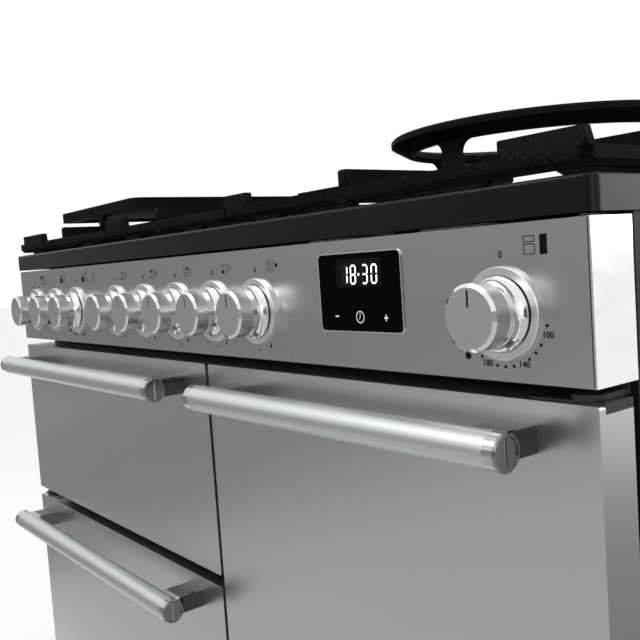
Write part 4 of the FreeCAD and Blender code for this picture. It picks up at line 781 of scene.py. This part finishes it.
# ---------------------------------------------------------------- stage
def make_floor():
    mesh = bpy.data.meshes.new("floor")
    size = 30
    mesh.from_pydata([(-size, -size, 0), (size, -size, 0), (size, size, 0), (-size, size, 0)], [],
                     [(0, 1, 2, 3)])
    floor = bpy.data.objects.new("floor", mesh)
    bpy.context.scene.collection.objects.link(floor)
    look = Look("floor_paint", (0.9, 0.9, 0.9), 0.9)
    look.tint(look.noise(3.0, 2.0), 0.99, 1.01)
    paint(floor, look.material)


def make_world():
    world = bpy.data.worlds.new("world")
    bpy.context.scene.world = world
    world.use_nodes = True
    tree = world.node_tree
    tree.nodes.clear()
    out = tree.nodes.new("ShaderNodeOutputWorld")
    back = tree.nodes.new("ShaderNodeBackground")
    back.inputs["Color"].default_value = (1, 1, 1, 1)
    back.inputs["Strength"].default_value = 1.0
    tree.links.new(back.outputs[0], out.inputs["Surface"])


def area_light(name, place, target, width, height, power):
    data = bpy.data.lights.new(name, "AREA")
    data.shape = "RECTANGLE"
    data.size = width
    data.size_y = height
    data.energy = power
    light = bpy.data.objects.new(name, data)
    light.location = place
    light.rotation_euler = (Vector(target) - Vector(place)).to_track_quat("-Z", "Y").to_euler()
    bpy.context.scene.collection.objects.link(light)


def grey_card(name, corners, shade):
    """Studio flag: seen only in reflections."""
    mesh = bpy.data.meshes.new(name)
    mesh.from_pydata(corners, [], [(0, 1, 2, 3)])
    card = bpy.data.objects.new(name, mesh)
    bpy.context.scene.collection.objects.link(card)
    look = Look(name + "_paint", (shade,) * 3, 0.9)
    look.shader.inputs["Emission Color"].default_value = (shade, shade, shade, 1)
    look.shader.inputs["Emission Strength"].default_value = 1.0
    look.shader.inputs["Base Color"].default_value = (0, 0, 0, 1)
    paint(card, look.material)
    card.visible_camera = False
    card.visible_diffuse = False
    card.visible_shadow = False
    card.visible_transmission = False


def upright_card(name, start, end, shade, low=0.05, high=1.5):
    (x0, y0), (x1, y1) = start, end
    grey_card(name, [(x0, y0, low), (x1, y1, low), (x1, y1, high), (x0, y0, high)], shade)


def level_card(name, start, end, shade, height=0.01):
    (x0, y0), (x1, y1) = start, end
    grey_card(name, [(x0, y0, height), (x1, y0, height), (x1, y1, height), (x0, y1, height)], shade)


def make_stage():
    make_floor()
    make_world()
    area_light("key", (-0.6, -1.9, 2.9), (0, -0.2, 0.8), 2.4, 1.4, 24)
    area_light("right_fill", (2.8, -1.2, 1.4), (0.3, 0, 0.7), 1.2, 1.6, 6)
    upright_card("front_flag", (-4.5, -3.2), (2.6, -3.2), 0.325)
    upright_card("front_right_flag", (2.6, -3.2), (8, -3.2), 0.05)
    upright_card("left_flag", (-4.5, -3.2), (-4.5, 1.5), 0.29)
    upright_card("right_softbox", (1.2, 3.0), (3.2, 2.0), 3.6, 0.9, 2.2)
    level_card("left_floor_flag", (-4.5, -3.2), (-1.5, -0.45), 0.26)
    level_card("front_floor_flag", (-1.5, -3.2), (3.5, -0.45), 0.56)
    level_card("right_floor_flag", (0.7, -0.3), (2.8, 2.2), 0.22)


make_camera()
finish_nodes()
fascia_marks()
knob_pointers()
clock_display()
igniters()
back_screws()
make_stage()

bpy.context.scene.view_settings.view_transform = "Standard"
